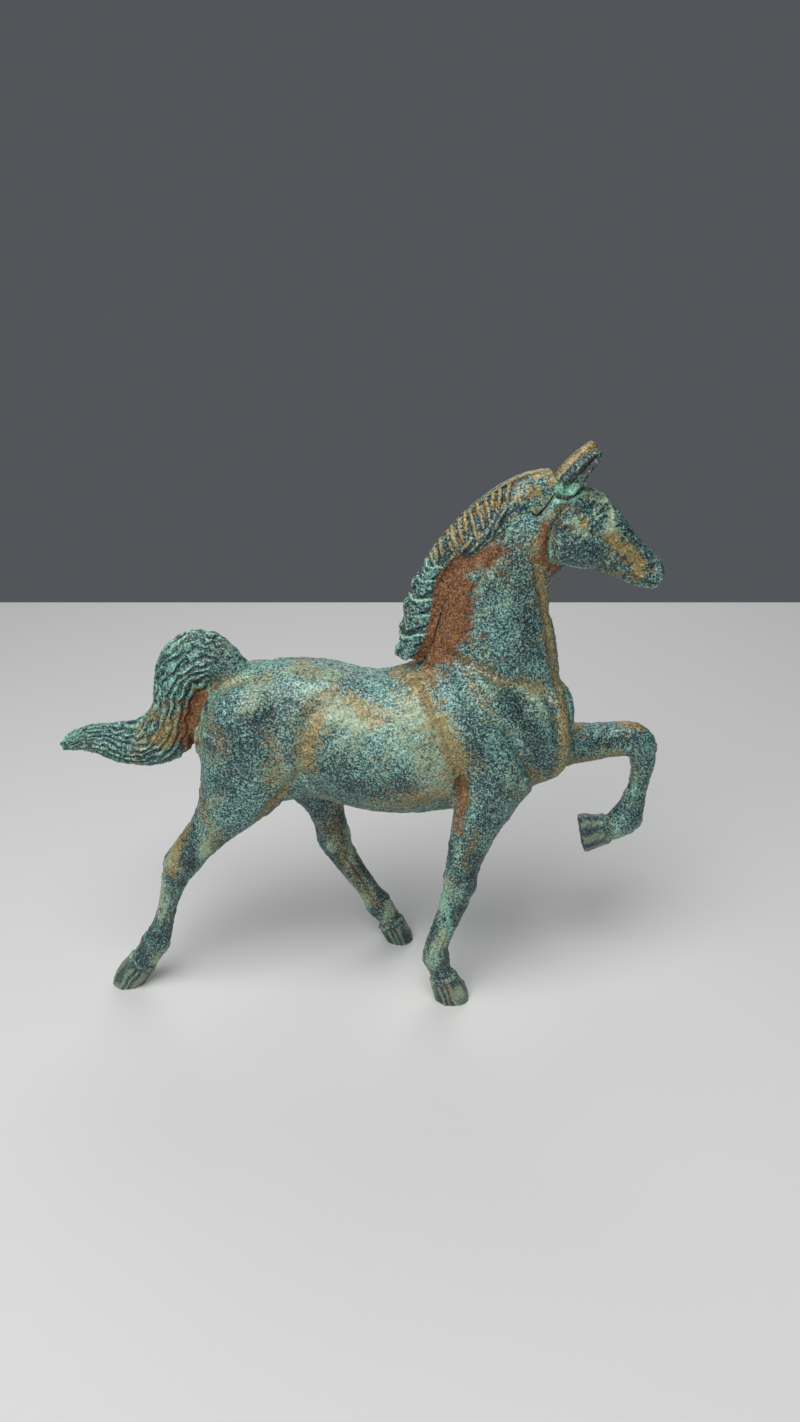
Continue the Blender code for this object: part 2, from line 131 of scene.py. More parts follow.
# ---- creases: outline, half width, depth, height of the lips as a share of the depth ---------
CREASES = [
    ([(7.2, 74.8), (9.6, 72.6), (13.9, 71.2), (18.5, 69), (24, 67.6), (27.8, 65.4)],
     1, 0.5, 0.35),   # neck meets shoulder
    ([(17.6, 92), (15.4, 88.6), (13.3, 84.1), (12.9, 78.4), (13.2, 73.6), (14.6, 71.2)],
     0.7, 0.45, 0.45),   # rear edge of the neck muscle
    ([(24, 91.5), (25.2, 86.7), (26.2, 82), (27.4, 76.3), (28.6, 70.4), (29.6, 65.4)],
     1, 0.5, 0.3),   # groove beside the windpipe
    ([(11.5, 70.6), (13.9, 68.3), (16.4, 64.8), (18.6, 61.7)], 0.9, 0.45, 0.35),
    ([(18.6, 62.4), (20.6, 59.6), (22.7, 56), (24.9, 51.5), (26.7, 46.5)], 1, 0.6, 0.4),
    ([(4.5, 68.8), (7.5, 62.9), (9.9, 57.9), (11.8, 51.8), (12.8, 46.5)], 1.3, 0.6, 0.3),
    ([(11.6, 51), (12.2, 46.5), (12, 42), (11.2, 38.5)], 0.9, 0.7, 0.25),
    ([(26.5, 66.8), (28.8, 62.6), (30.2, 56.5), (30, 51.3), (28, 46.2)], 0.9, 0.5, 0.35),
    ([(30.8, 66.9), (32.1, 60.8), (32.4, 54.6), (31.4, 49.3)], 0.6, 0.25, 0.2),
    ([(-12.8, 65.2), (-15.9, 62.3), (-17.6, 58.3), (-18.2, 53.3), (-17.4, 47.6)], 1.4, 0.5, 0.3),
    ([(-18.4, 51), (-21.4, 47.2), (-24.8, 43.4), (-27.5, 39)], 1, 0.45, 0.4),
    ([(-36, 58.5), (-32.5, 60), (-28, 61.2), (-22.5, 63)], 1.2, 0.25, 0.3),
    ([(-37, 61), (-37.4, 56), (-37.4, 50), (-36.9, 44)], 0.8, 0.25, 0.25),
    # head
    ([(29.4, 100.8), (27.6, 98), (26.8, 95), (26.9, 92), (28.2, 89.2)], 0.8, 0.75, 0.2),
    ([(28.6, 97), (30.4, 96.7), (32.4, 96.2), (34.5, 95.8), (36.4, 94.9), (37.4, 93.5), (37.5, 92.1),
      (36.8, 90.4)], 0.42, 0.4, 0.25),
    ([(38.6, 91.6), (40.4, 90.2), (42, 89.2)], 0.5, 0.22, 0.3),
    ([(36.8, 97.4), (39, 96), (41.4, 94), (43.6, 92)], 0.5, 0.25, 0.3),
    ([(47.8, 86.3), (46.2, 86), (44.4, 86.4), (42.6, 87.2), (40.9, 88.4)], 0.36, 0.55, 0.45),
    ([(36, 88.6), (38.4, 88.4), (40.4, 87.4)], 0.36, 0.25, 0.4),
    ([(33.8, 103.6), (35.8, 102), (37.8, 99.9), (39.6, 97.7)], 0.45, 0.2, 0.25),
    ([(30.6, 99.8), (32.6, 99.2), (33.4, 98.2)], 0.6, 0.3, 0.25),
]

# ---- ridges: outline, half width, height ---------------------------------------------------
RIDGES = [
    ([(-33.5, 61.4), (-28.8, 63.4), (-24.6, 65.6), (-20, 67)], 1.8, 0.3),
    ([(37.4, 95.4), (39.4, 93.8), (41.4, 92.2), (42.6, 90.4)], 0.55, 0.32),
    ([(33, 102.2), (34.4, 102.1), (36, 101.4), (37, 100.2)], 0.55, 0.5),
    ([(36.9, 100.4), (37.6, 99.2), (37.6, 97.8)], 0.35, 0.28),
    ([(47.2, 90), (46.6, 88.4), (45.2, 87.4), (43.4, 88)], 0.45, 0.25),
    ([(33.2, 103.8), (30.6, 101.9), (27.4, 101.3), (24.4, 102)], 0.55, 0.45),
    ([(28.6, 100.4), (27, 98.4), (25.6, 95.2), (25.2, 92)], 0.7, 0.25),
]

EYE = (35.3, 99.2)
NOSTRIL = (45.6, 89.4)
BROW_KNOB = (32.7, 102.4)

# ---- stains, painted highlights and painted shade on both sides: outline, half width, amount ---
STREAKS = {
    "rust": [
        ([(17, 92.4), (12.5, 90.4), (9.5, 87.5)], 2.4, 1.1),
        ([(9.8, 88), (10, 82), (9.6, 77), (7, 73.2)], 3.2, 1.5),
        ([(8, 73.5), (3, 71), (-1, 69.6)], 2.6, 0.9),
        ([(25.6, 97), (25.4, 93), (26.2, 90), (28.2, 88.6)], 1.3, 0.95),
        ([(-38, 62.5), (-39.6, 60), (-40.2, 56.5), (-40.6, 52)], 2.1, 1.5),
        ([(12, 48.5), (11.8, 44), (11.2, 40)], 1.3, 0.85),
        ([(-12, 41), (-9.5, 38.6)], 2.2, 0.5),
    ],
    "ochre": [
        ([(24.6, 92), (25.2, 86.7), (26.2, 82), (27.4, 76.3), (28.6, 70.4), (29.9, 65), (31.4, 58),
          (31, 50)], 2, 0.8),
        ([(7.2, 74.6), (13.9, 71.4), (18.5, 69), (24, 67.4), (28, 65.2)], 1.6, 0.62),
        ([(12.6, 70), (14.6, 67), (17, 63.8)], 1.6, 0.5),
        ([(3, 68), (7.2, 62), (9.8, 57.5), (11.6, 51.6), (12.6, 46)], 2.6, 0.85),
        ([(12.2, 56), (14.5, 53.5)], 2.2, 0.5),
        ([(26, 50), (27.6, 46.4), (25, 43.5)], 1.8, 0.75),
        ([(-15, 62), (-16.6, 57), (-17.6, 53)], 2.6, 0.85),
        ([(-24, 58.5), (-22.5, 53.5), (-24, 50)], 2.4, 0.5),
        ([(-21.5, 47.2), (-26, 42), (-29, 36.5)], 1.3, 0.8),
        ([(-34, 66), (-30, 66.8), (-25, 68)], 2, 0.6),
        ([(-35, 62), (-33, 57)], 2.2, 0.45),
        ([(-37.8, 60), (-38.2, 54), (-38.2, 47), (-37, 41)], 1.5, 0.55),
        ([(-10, 69.6), (0, 68.2), (6, 69)], 2.4, 0.75),
        ([(-9, 65), (-4, 62)], 2.6, 0.75),
        ([(-16.5, 64), (-12, 66.5)], 2, 0.6),
        ([(-1, 44), (4, 46), (9, 48)], 4.2, 0.62),
        ([(-20, 70), (-16, 68.5)], 2, 0.5),
        ([(37.2, 94.8), (38.6, 93.6), (40.4, 92.3), (42.2, 90.6), (42.8, 88.4)], 1.35, 1.3),
        ([(31.8, 97.6), (32.6, 97.2)], 0.9, 1.3),
        ([(32.4, 102.6), (33.2, 102.2)], 0.7, 0.8),
        ([(37, 88.8), (39.6, 87.8)], 0.8, 0.7),
        ([(28.6, 101), (26, 97.6), (24.8, 94.6)], 1.6, 0.6),
        ([(33.8, 104.6), (36.8, 101.6)], 0.8, 0.55),
        ([(33.5, 53.6), (37.5, 54.6), (42, 54.8), (46.5, 54.3)], 1.6, 0.95),
        ([(33, 46.6), (38, 47.4), (43, 48.8)], 1.7, 0.75),
        ([(-12, 38), (-14, 30), (-11, 20), (-6, 11)], 2.2, 0.55),
        ([(35, 88), (38.5, 87.2), (41, 86.4)], 0.5, 0.7),
        ([(28, 102.6), (31, 103.4), (33, 103.2)], 0.7, 0.7),
    ],
    "mint": [
        ([(-28, 68), (-20, 70.6), (-13, 70.6)], 3, 0.5),
        ([(-18.4, 52.5), (-17.8, 49), (-16, 46.2)], 1, 0.45),
        ([(-34.6, 65.2), (-35.6, 62.6)], 1, 0.6),
        ([(-36.8, 60), (-37.4, 52)], 1.2, 0.45),
        ([(20, 98.4), (19.3, 95.7), (18.2, 93.4), (16.6, 92)], 0.4, 0.8),
        ([(0, 71.2), (3.4, 71.6)], 0.9, 0.8),
        ([(31.8, 50.6), (33.4, 53.2)], 0.7, 0.75),
        ([(26.7, 94), (27, 90.6)], 0.4, 0.8),
        ([(31, 66), (32.6, 60), (32.8, 54)], 0.6, 0.45),
        ([(36.8, 100.6), (37.6, 99.2), (37.5, 97.6)], 0.3, 0.5),
        ([(33.2, 103.6), (30.6, 101.9), (27.4, 101.3), (24.4, 102)], 0.55, 1),
        ([(31, 98.6), (31.2, 97), (32.6, 96.4), (33.6, 97.2)], 0.35, 0.7),
        ([(47.4, 44), (47.2, 38.5)], 0.7, 0.6),
    ],
    "pale": [
        # the next two strokes are painted highlight, the sheen on the barrel
        ([(2.5, 64), (7, 62), (10, 58)], 2.4, 0.9),
        ([(-12, 63), (-4, 61), (4, 56), (7, 50)], 5.5, 0.62),
        ([(-28, 66), (-20, 67.5), (-12, 66)], 3, 0.4),
        ([(23.5, 66.4), (27, 63)], 1.6, 0.65),
        # painted highlight along the top of the haunch
        ([(-30, 62.6), (-25, 64.8), (-17, 66)], 1.2, 0.6),
        ([(28.2, 94.6), (28.5, 90.9), (30.8, 89.4), (35, 89.2)], 0.35, 0.8),
        # painted highlight on the rim of the muzzle
        ([(47.6, 89.6), (48.2, 87.8), (47, 85.8), (44.6, 85.4)], 0.6, 0.8),
        # painted highlight on the brow
        ([(33.4, 102.4), (35.4, 101.8), (36.6, 100.8)], 0.5, 0.8),
        ([(46.8, 33.5), (43.5, 31)], 2, 0.5),
        ([(37.2, 99), (37.6, 97), (36.6, 95.6)], 1, 1.2),
        ([(33.8, 99.3), (35.2, 100.2)], 0.28, 1.2),
        ([(34.5, 98.4), (35.9, 99.4)], 0.25, 1.2),
        ([(29.6, 88.7), (33.6, 88.1), (37, 87.6)], 0.3, 1),
        ([(34, 88), (38, 86.9), (41.5, 85.9)], 0.55, 1),
        ([(30.6, 99.4), (30.4, 97.6), (31.2, 96.6), (33, 96.4)], 0.5, 1),
        # painted highlight on the brow
        ([(33.2, 101.8), (34.6, 101.4), (35.8, 100.9)], 0.5, 1.1),
        ([(22, 100), (26, 99.6)], 1.2, 0.5),
    ],
    "dark": [
        # painted shade on the haunch below its lit top ridge
        ([(-34.6, 56.4), (-30, 59.6), (-24.7, 62.4), (-19.5, 64.4)], 2.6, 0.85),
        ([(-32, 49.5), (-30.5, 53.5), (-27, 57.5)], 2.2, 0.8),
        ([(-26, 40), (-22, 46)], 1.5, 0.5),
        ([(-13, 52), (-8.5, 48.5), (-3, 47), (1.5, 50)], 3.2, 0.75),
        ([(-16, 49), (-10, 44)], 2, 0.5),
        ([(14, 61), (15.5, 54), (18, 47)], 3, 0.7),
        ([(21, 66), (25, 60), (27.6, 52)], 2.8, 0.75),
        ([(24.5, 74), (23.5, 84), (21, 92)], 3, 0.55),
        ([(22, 99.5), (19.6, 96), (17.6, 93)], 1.6, 0.7),
        ([(29.5, 94), (33.5, 93.6), (35.6, 92.4)], 2.4, 0.85),
        ([(27.9, 96.8), (31, 96.4), (34, 95.7), (36.6, 94.5), (37.3, 92.6)], 0.45, 1.3),
        ([(31.4, 100.6), (34, 99.2)], 1.3, 0.9),
        ([(40, 97), (42.6, 94.2), (45, 91.6)], 0.7, 0.9),
        ([(27.2, 96.5), (27.4, 92.5)], 0.9, 0.7),
        ([(33.6, 100.6), (35.3, 99.6), (36.4, 98.8)], 1.5, 1.1),
        # painted shade in the nostril
        ([(44.6, 90.6), (46, 89.2)], 0.9, 1.1),
        ([(46.8, 86.2), (43.6, 86.9), (41, 88.3)], 0.35, 1),
        ([(38, 51.6), (46, 52.4)], 1.3, 0.8),
        ([(48.6, 47), (48.4, 40), (47, 34)], 1.2, 0.5),
        ([(-16, 31), (-9, 17), (-4, 8)], 1.6, 0.4),
    ],
}

# ---- the same for the right legs alone ------------------------------------------------------
RIGHT_STREAKS = {
    "ochre": [
        ([(-41.5, 37.5), (-43.5, 33), (-44.3, 28.5)], 1.9, 0.8),
        ([(-36, 36), (-32, 33.5)], 2.2, 0.45),
        ([(15, 40), (12.6, 33)], 1.4, 0.5),
        ([(10, 5), (10.8, 2.6)], 1.2, 0.7),
    ],
    "mint": [
        ([(8.4, 27.5), (9.6, 22.3), (10.4, 17)], 1.1, 0.7),
    ],
    "pale": [
        ([(-47, 26), (-48.4, 20), (-49.8, 14.6)], 1.6, 0.8),
    ],
    "dark": [
        ([(-43, 31), (-45.2, 22), (-46.6, 14)], 1.2, 0.7),
        ([(16, 45), (14, 38), (12.4, 31), (10.4, 24)], 1.6, 0.6),
        ([(8, 12), (7.4, 8.5)], 2, 0.6),
        ([(-50, 11), (-52.4, 6.4)], 1.8, 0.6),
    ],
}

# ---- legs: side, then x, z, y of knee or hock, middle of the cannon, fetlock, coronet, ground
LEGS = {
    "right_foreleg": (-1, [(12.2, 28, -10.2), (9.6, 18.6, -10.2), (7.7, 9.8, -10.2),
                           (9, 5.6, -10.2), (11, 0, -10.2)]),
    "right_hindleg": (-1, [(-43, 29.5, -7.6), (-46.7, 18.5, -7.5), (-49.7, 10.3, -7.5),
                           (-52.6, 5.8, -7.5), (-56.6, 0, -7.5)]),
    "left_hindleg": (1, [(-14.3, 26, 9.6), (-9, 15.8, 9.8), (-5.2, 9.6, 9.8),
                         (-2.4, 5, 9.8), (-0.2, 0, 9.8)]),
    "left_foreleg": (1, [(47.6, 49.8, 7), (48.4, 42.2, 7), (46.6, 33.2, 7),
                         (42.8, 30.6, 7), (37.3, 29.2, 7)]),
}

# ---- camera: the viewpoint that shows the horse from its right, a little above --------------
CAMERA_PLACE = (14.96, -201.7, 149.5)
CAMERA_TURN = (66.0, 0.0, 2.0)
FOCAL_LENGTH = 29.11
FILM_SIZE = 36.0

# ---- stage, in metres: the pale floor ends behind the horse against a plain grey world ------
FLOOR_SIZE = 4.0
FLOOR_FAR_EDGE = 0.242
WORLD_GREY = (0.085, 0.092, 0.100, 1)
LAMPS = {                        # place, width, power
    "key": ((-0.06, -0.18, 0.44), 0.34, 2.0),
    "front": ((-0.30, -0.60, 0.35), 0.50, 1.55),
    "back": ((0.05, 0.50, 0.45), 0.50, 1.3),
}


# ==== meshes ==================================================================================
def smooth_curve(outline, step):
    """Points at an even step along a smooth curve through the outline's corners."""
    corners = np.array(outline, dtype=float)
    padded = np.vstack([2 * corners[0] - corners[1], corners, 2 * corners[-1] - corners[-2]])
    points = []
    for a, b, c, d in zip(padded, padded[1:], padded[2:], padded[3:]):
        count = max(2, int(np.linalg.norm(c - b) / step))
        for t in np.arange(count) / count:
            points.append(0.5 * (2 * b + (c - a) * t + (2 * a - 5 * b + 4 * c - d) * t ** 2
                                 + (3 * b - a - 3 * c + d) * t ** 3))
    points.append(corners[-1])
    return np.array(points)


def opened(mesh):
    """A bmesh with what the mesh holds."""
    bm = bmesh.new()
    bm.from_mesh(mesh)
    return bm


def new_mesh(name, bm):
    """A mesh with what the bmesh holds; the bmesh is used up."""
    mesh = bpy.data.meshes.new(name)
    bm.to_mesh(mesh)
    bm.free()
    return mesh


def new_object(name, data):
    """An object with this data, placed in the scene."""
    thing = bpy.data.objects.new(name, data)
    bpy.context.collection.objects.link(thing)
    return thing


def mesh_points(mesh):
    """The mesh's points, one row of x, y, z each."""
    flat = np.zeros(len(mesh.vertices) * 3)
    mesh.vertices.foreach_get("co", flat)
    return flat.reshape(-1, 3)


def mesh_edges(mesh):
    """The mesh's edges, one row of two point numbers each."""
    flat = np.zeros(len(mesh.edges) * 2, np.int64)
    mesh.edges.foreach_get("vertices", flat)
    return flat.reshape(-1, 2)


def node_bmesh(names):
    """The named CAD solids as one bmesh in the sculptor's frame."""
    bm = bmesh.new()
    for name in names:
        bm.from_mesh(frame["nodes"][name].data)
    bmesh.ops.scale(bm, vec=(1 / MM,) * 3, verts=bm.verts)
    bmesh.ops.translate(bm, vec=-Vector(SHIFT), verts=bm.verts)
    bmesh.ops.remove_doubles(bm, verts=bm.verts, dist=0.001)
    return bm


def grow(bm, distance):
    """Move every point out along its normal."""
    bm.normal_update()
    for vert in bm.verts:
        vert.co += vert.normal * distance


def fused_mesh(bm, voxel):
    """One closed skin around everything in the bmesh, without the hollows inside it."""
    mesh = new_mesh("fused", bm)
    thing = new_object("fused", mesh)
    remesh = thing.modifiers.new("fuse", "REMESH")
    remesh.mode = "VOXEL"
    remesh.voxel_size = voxel
    view = bpy.context.evaluated_depsgraph_get()
    view.update()
    skin = bpy.data.meshes.new_from_object(thing.evaluated_get(view))
    bpy.data.objects.remove(thing, do_unlink=True)
    bpy.data.meshes.remove(mesh)
    return largest_body(skin)


def body_numbers(mesh):
    """For each point of a mesh, the number of the connected body it belongs to."""
    edges = mesh_edges(mesh)
    label = np.arange(len(mesh.vertices))
    while True:
        low = np.minimum(label[edges[:, 0]], label[edges[:, 1]])
        new = label.copy()
        np.minimum.at(new, edges[:, 0], low)
        np.minimum.at(new, edges[:, 1], low)
        new = new[new]
        if (new == label).all():
            return label
        label = new


def one_body(mesh, label, number):
    """A bmesh of the connected body that has this number."""
    bm = opened(mesh)
    bm.verts.ensure_lookup_table()
    others = [bm.verts[i] for i in np.flatnonzero(label != number)]
    bmesh.ops.delete(bm, geom=others, context="VERTS")
    return bm


def largest_body(mesh):
    """Drop every connected body but the one with the most points."""
    label = body_numbers(mesh)
    largest = np.bincount(label).argmax()
    if (label != largest).any():
        bm = one_body(mesh, label, largest)
        bm.to_mesh(mesh)
        bm.free()
    return mesh


def add_strand(bm, path, radii, sides=10):
    """A tapering strand of hair along a path, closed at both ends."""
    path = [Vector(p) for p in path]
    rings = []
    for i, centre in enumerate(path):
        along = (path[min(i + 1, len(path) - 1)] - path[max(i - 1, 0)]).normalized()
        turn = along.to_track_quat("Z", "Y").to_matrix().to_4x4()
        place = Matrix.Translation(centre) @ turn @ Matrix.Scale(radii[i], 4)
        ends = i in (0, len(path) - 1)
        made = bmesh.ops.create_circle(bm, cap_ends=ends, radius=1, segments=sides, matrix=place)
        rings.append(made["verts"])
    for near, far in zip(rings, rings[1:]):
        for k in range(sides):
            n = (k + 1) % sides
            bm.faces.new((near[k], near[n], far[n], far[k]))


# ==== sculpting ===============================================================================
def bell(gap, width):
    """1 on the stroke, fading smoothly to 0 beside it."""
    return np.exp(-(gap / width) ** 2)


def ease(value):
    """Smooth step from 0 to 1."""
    value = np.clip(value, 0, 1)
    return value * value * (3 - 2 * value)


def ripple(points, wavelength, seed, waves=14):
    """Smooth irregular lumps about one wavelength apart, from -1 to 1 or so."""
    draw = np.random.default_rng(seed)
    total = np.zeros(len(points))
    for _ in range(waves):
        direction = draw.normal(size=3)
        direction *= 2 * math.pi / (wavelength * draw.uniform(0.7, 1.5) * np.linalg.norm(direction))
        total += np.sin(points @ direction + draw.uniform(0, 2 * math.pi))
    return total / math.sqrt(waves / 2)


def seen_from(tree, side, x, z, middle=0.0, start=FAR_OUT, depth=2 * FAR_OUT):
    """Where a ray from one side towards the plane y = middle first meets a skin, or None."""
    return tree.ray_cast(Vector((x, middle + side * start, z)), Vector((0, -side, 0)), depth)[0]


class Skin:
    """A closed skin under the sculptor's tools, with a weight per point for each stain layer; the dark and
    pale layers also carry painted shade and painted highlights.
    """

    def __init__(self, mesh):
        self.mesh = mesh
        count = len(mesh.vertices)
        self.points = mesh_points(mesh)
        self.edges = mesh_edges(mesh)
        self.links = np.bincount(self.edges.ravel(), minlength=count)
        self.stains = {name: np.zeros(count) for name in STAINS}
        self.ragged = ripple(self.points, 2.6, 21) + 0.5 * ripple(self.points, 1.1, 22)
        self.refresh()

    def refresh(self):
        """Update the normals and the tree for ray casts after the points have moved."""
        self.mesh.vertices.foreach_set("co", self.points.astype(np.float32).ravel())
        self.mesh.update()
        flat = np.zeros(len(self.points) * 3, np.float32)
        self.mesh.vertex_normals.foreach_get("vector", flat)
        self.normals = flat.reshape(-1, 3).astype(float)
        faces = [tuple(polygon.vertices) for polygon in self.mesh.polygons]
        self.tree = BVHTree.FromPolygons(self.points.tolist(), faces)

    def average(self, values):
        """The mean of each point's neighbours."""
        first, second = self.edges.T
        count = len(self.points)
        columns = values.reshape(count, -1).T
        total = [np.bincount(first, c[second], count) + np.bincount(second, c[first], count)
                 for c in columns]
        return (np.array(total) / self.links).T.reshape(values.shape)

    def relax(self, rounds, keep=-0.53):
        """Take the facets out of the skin without shrinking it."""
        for _ in range(rounds):
            for share in (0.5, keep):
                self.points = self.points + share * (self.average(self.points) - self.points)

    def hollows(self, rounds):
        """How deep each point lies below the average of its surroundings, in mm."""
        even = self.points
        for _ in range(rounds):
            even = self.average(even)
        return ((even - self.points) * self.normals).sum(axis=1)

    def lift(self, height):
        """Move the points along their normals."""
        self.points = self.points + self.normals * height[:, None]

    def trace(self, outline, side, **ray):
        """A smooth path on the skin, seen square from one side."""
        hits = [seen_from(self.tree, side, x, z, **ray) for x, z in smooth_curve(outline, PATH_STEP)]
        return np.array([hit[:] for hit in hits if hit is not None])

    def near(self, path, reach):
        """The points within reach of a path, their distance to it and their place along it."""
        low, high = path.min(axis=0) - reach, path.max(axis=0) + reach
        picked = np.flatnonzero(((self.points > low) & (self.points < high)).all(axis=1))
        spots = self.points[picked]
        square = (spots ** 2).sum(1)[:, None] + (path ** 2).sum(1) - 2 * spots @ path.T
        nearest = square.argmin(axis=1)
        gap = np.sqrt(np.maximum(square.min(axis=1), 0))
        return picked, gap, nearest / max(1, len(path) - 1)

    def brush(self, path, width, reach=3.0, ends=0.18):
        """Weight of a stroke at every point near it; the stroke fades out at both ends."""
        picked, gap, along = self.near(path, reach * width)
        fade = ease(np.minimum(along, 1 - along) / ends + 0.25)
        return picked, gap, fade

    def crease(self, height, path, width, depth, lip):
        """A groove with a soft lip on either side of it."""
        if len(path) < 3:
            return
        picked, gap, fade = self.brush(path, width, 4.0)
        shape = -depth * bell(gap, width) + lip * depth * bell(gap - 2.1 * width, width)
        height[picked] += shape * fade

    def ridge(self, height, path, width, rise):
        """A soft ridge along a path."""
        if len(path) < 3:
            return
        picked, gap, fade = self.brush(path, width)
        height[picked] += rise * bell(gap, width) * fade

    def swell(self, height, centre, radii, lean, rise, side):
        """A rounded swelling or hollow, seen square from one side."""
        x, z = centre
        hit = seen_from(self.tree, side, x, z)
        if hit is None:
            return
        away = self.points - np.array(hit[:])
        c, s = math.cos(math.radians(lean)), math.sin(math.radians(lean))
        along = (away[:, 0] * c + away[:, 2] * s) / radii[0]
        across = (away[:, 2] * c - away[:, 0] * s) / radii[1]
        facing = ease(side * self.normals[:, 1] * 1.6 + 0.3)
        height += rise * np.exp(-along ** 2 - across ** 2) * facing * (side * self.points[:, 1] > -1)

    def lay(self, name, weight, picked=slice(None)):
        """Raise a stain to at least this weight at the picked points."""
        self.stains[name][picked] = np.maximum(self.stains[name][picked], weight)

    def stain(self, name, path, width, amount):
        """Lay a stain along a path; the same stroke lays painted highlights and painted shade."""
        if len(path) == 0:
            return
        picked, gap, _ = self.near(path, 2.6 * width)
        gap = gap * (1 + 0.22 * self.ragged[picked])
        self.lay(name, amount * bell(gap, width), picked)

    def band(self, height, centre, axis, radius, width, rise, stain=None, amount=0.0):
        """A ring around a limb: a coronet, a joint or a crease."""
        axis = np.array(axis, float) / np.linalg.norm(axis)
        away = self.points - np.array(centre, float)
        along = away @ axis
        spread = np.linalg.norm(away - along[:, None] * axis, axis=1)
        weight = bell(along, width) * ease((radius - spread) / 0.8)
        height += rise * weight
        if stain:
            self.lay(stain, amount * weight)

    def mesh_with_stains(self):
        """Write the points and the stains into the mesh."""
        self.refresh()
        for name, layer in self.stains.items():
            stored = self.mesh.attributes.new(name, "FLOAT", "POINT")
            stored.data.foreach_set("value", np.clip(layer, 0, 1.5).astype(np.float32))
        return self.mesh


def sculpt_muscles(skin):
    """The broad forms of trunk, neck and head."""
    height = np.zeros(len(skin.points))
    for centre, radii, lean, rise in MUSCLES:
        for side in BOTH:
            skin.swell(height, centre, radii, lean, rise, side)
    skin.lift(height)


def sculpt_lines(skin):
    """Creases and ridges between the forms."""
    height = np.zeros(len(skin.points))
    for outline, width, depth, lip in CREASES:
        for side in BOTH:
            skin.crease(height, skin.trace(outline, side), width, depth, lip)
    for outline, width, rise in RIDGES:
        for side in BOTH:
            skin.ridge(height, skin.trace(outline, side), width, rise)
    skin.lift(height)


def sculpt_face(skin):
    """Eyes, nostrils and the parting of the lips."""
    height = np.zeros(len(skin.points))
    for side in BOTH:
        x, z = EYE
        socket = [(x - 1.5, z + 0.1), (x, z - 0.7), (x + 1.4, z - 0.1)]
        upper = [(x - 1.5, z + 0.3), (x - 0.2, z + 1.2), (x + 1.3, z + 0.5), (x + 1.6, z - 0.2)]
        skin.swell(height, (x, z), (1.9, 1.4), -20, -0.45, side)
        skin.swell(height, (x, z), (0.95, 0.75), -20, 0.65, side)
        skin.ridge(height, skin.trace(upper, side), 0.34, 0.34)
        skin.ridge(height, skin.trace(socket, side), 0.34, 0.22)
        x, z = NOSTRIL
        rim = [(x - 0.9, z - 0.4), (x - 0.6, z + 0.8), (x + 0.5, z + 0.9), (x + 1.0, z + 0.1)]
        skin.swell(height, (x, z), (0.75, 0.45), 40, -0.70, side)
        skin.ridge(height, skin.trace(rim, side), 0.35, 0.28)
        skin.swell(height, BROW_KNOB, (0.7, 0.6), 0, 0.45, side)
    skin.lift(height)


LEG_RADIUS = 5.6                 # how far out a band around a leg reaches
HOOF_RADIUS = 6.0                # how far out the hoof's stripes reach
TENDON_GROOVES = ((-0.55, 0.42, 0.34), (0.75, 0.38, 0.20))   # offset, half width, depth


def sculpt_leg(skin, side, joints):
    """Joints, tendons, coronet and the striped hoof wall of one leg."""
    height = np.zeros(len(skin.points))
    knee, cannon, fetlock, coronet, ground = [np.array((x, y, z), float) for x, z, y in joints]
    down = ground - coronet
    for centre, axis, width, rise, stain, amount in (
            (knee, cannon - knee, 1.6, 0.22, None, 0),
            (knee + (cannon - knee) * 0.30, cannon - knee, 0.7, -0.18, None, 0),
            (fetlock, coronet - cannon, 1.3, 0.20, None, 0),
            (coronet + down * 0.10, down, 0.6, 0.20, "pale", 0.4),
            (coronet - down * 0.06, down, 0.5, -0.24, "dark", 0.9)):
        skin.band(height, centre, axis, LEG_RADIUS, width, rise, stain, amount)
    along = fetlock - knee
    across = np.array((along[2], 0, -along[0])) / np.linalg.norm(along)
    start = knee + along * 0.22
    stop = knee + along * 0.86
    for face in (side, -side):
        for offset, width, depth in TENDON_GROOVES:
            outline = [tuple((p + across * offset)[[0, 2]]) for p in (start, (start + stop) / 2, stop)]
            path = skin.trace(outline, face, middle=knee[1], start=LIMB_REACH, depth=LIMB_REACH)
            skin.crease(height, path, width, depth, 0.3)
    skin.lift(height)
    away = skin.points - coronet
    depth = away @ (down / (down @ down))
    spread = away - depth[:, None] * down
    inside = (depth > 0.0) & (depth < 1.6) & (np.linalg.norm(spread, axis=1) < HOOF_RADIUS)
    angle = np.arctan2(spread[:, 1], spread @ (across / np.linalg.norm(across)))
    wander = 2.5 * np.sin(angle * 4) + 0.8 * ripple(skin.points, 5.0, 31)
    stripes = 0.5 + 0.5 * np.sin(angle * 11 + wander)
    weight = inside * ease(depth * 4)
    skin.lay("streak", weight * (0.30 + 0.70 * stripes))


TAIL_LINE = [(-33.0, 68.5), (-36.7, 70.1), (-40.7, 67.7), (-43.3, 63.2), (-44.3, 59.0), (-46.0, 54.7),
             (-49.8, 51.7), (-54.4, 52.0), (-59.0, 52.7), (-63.0, 52.2), (-66.5, 50.6)]
TAIL_STEP = 0.25


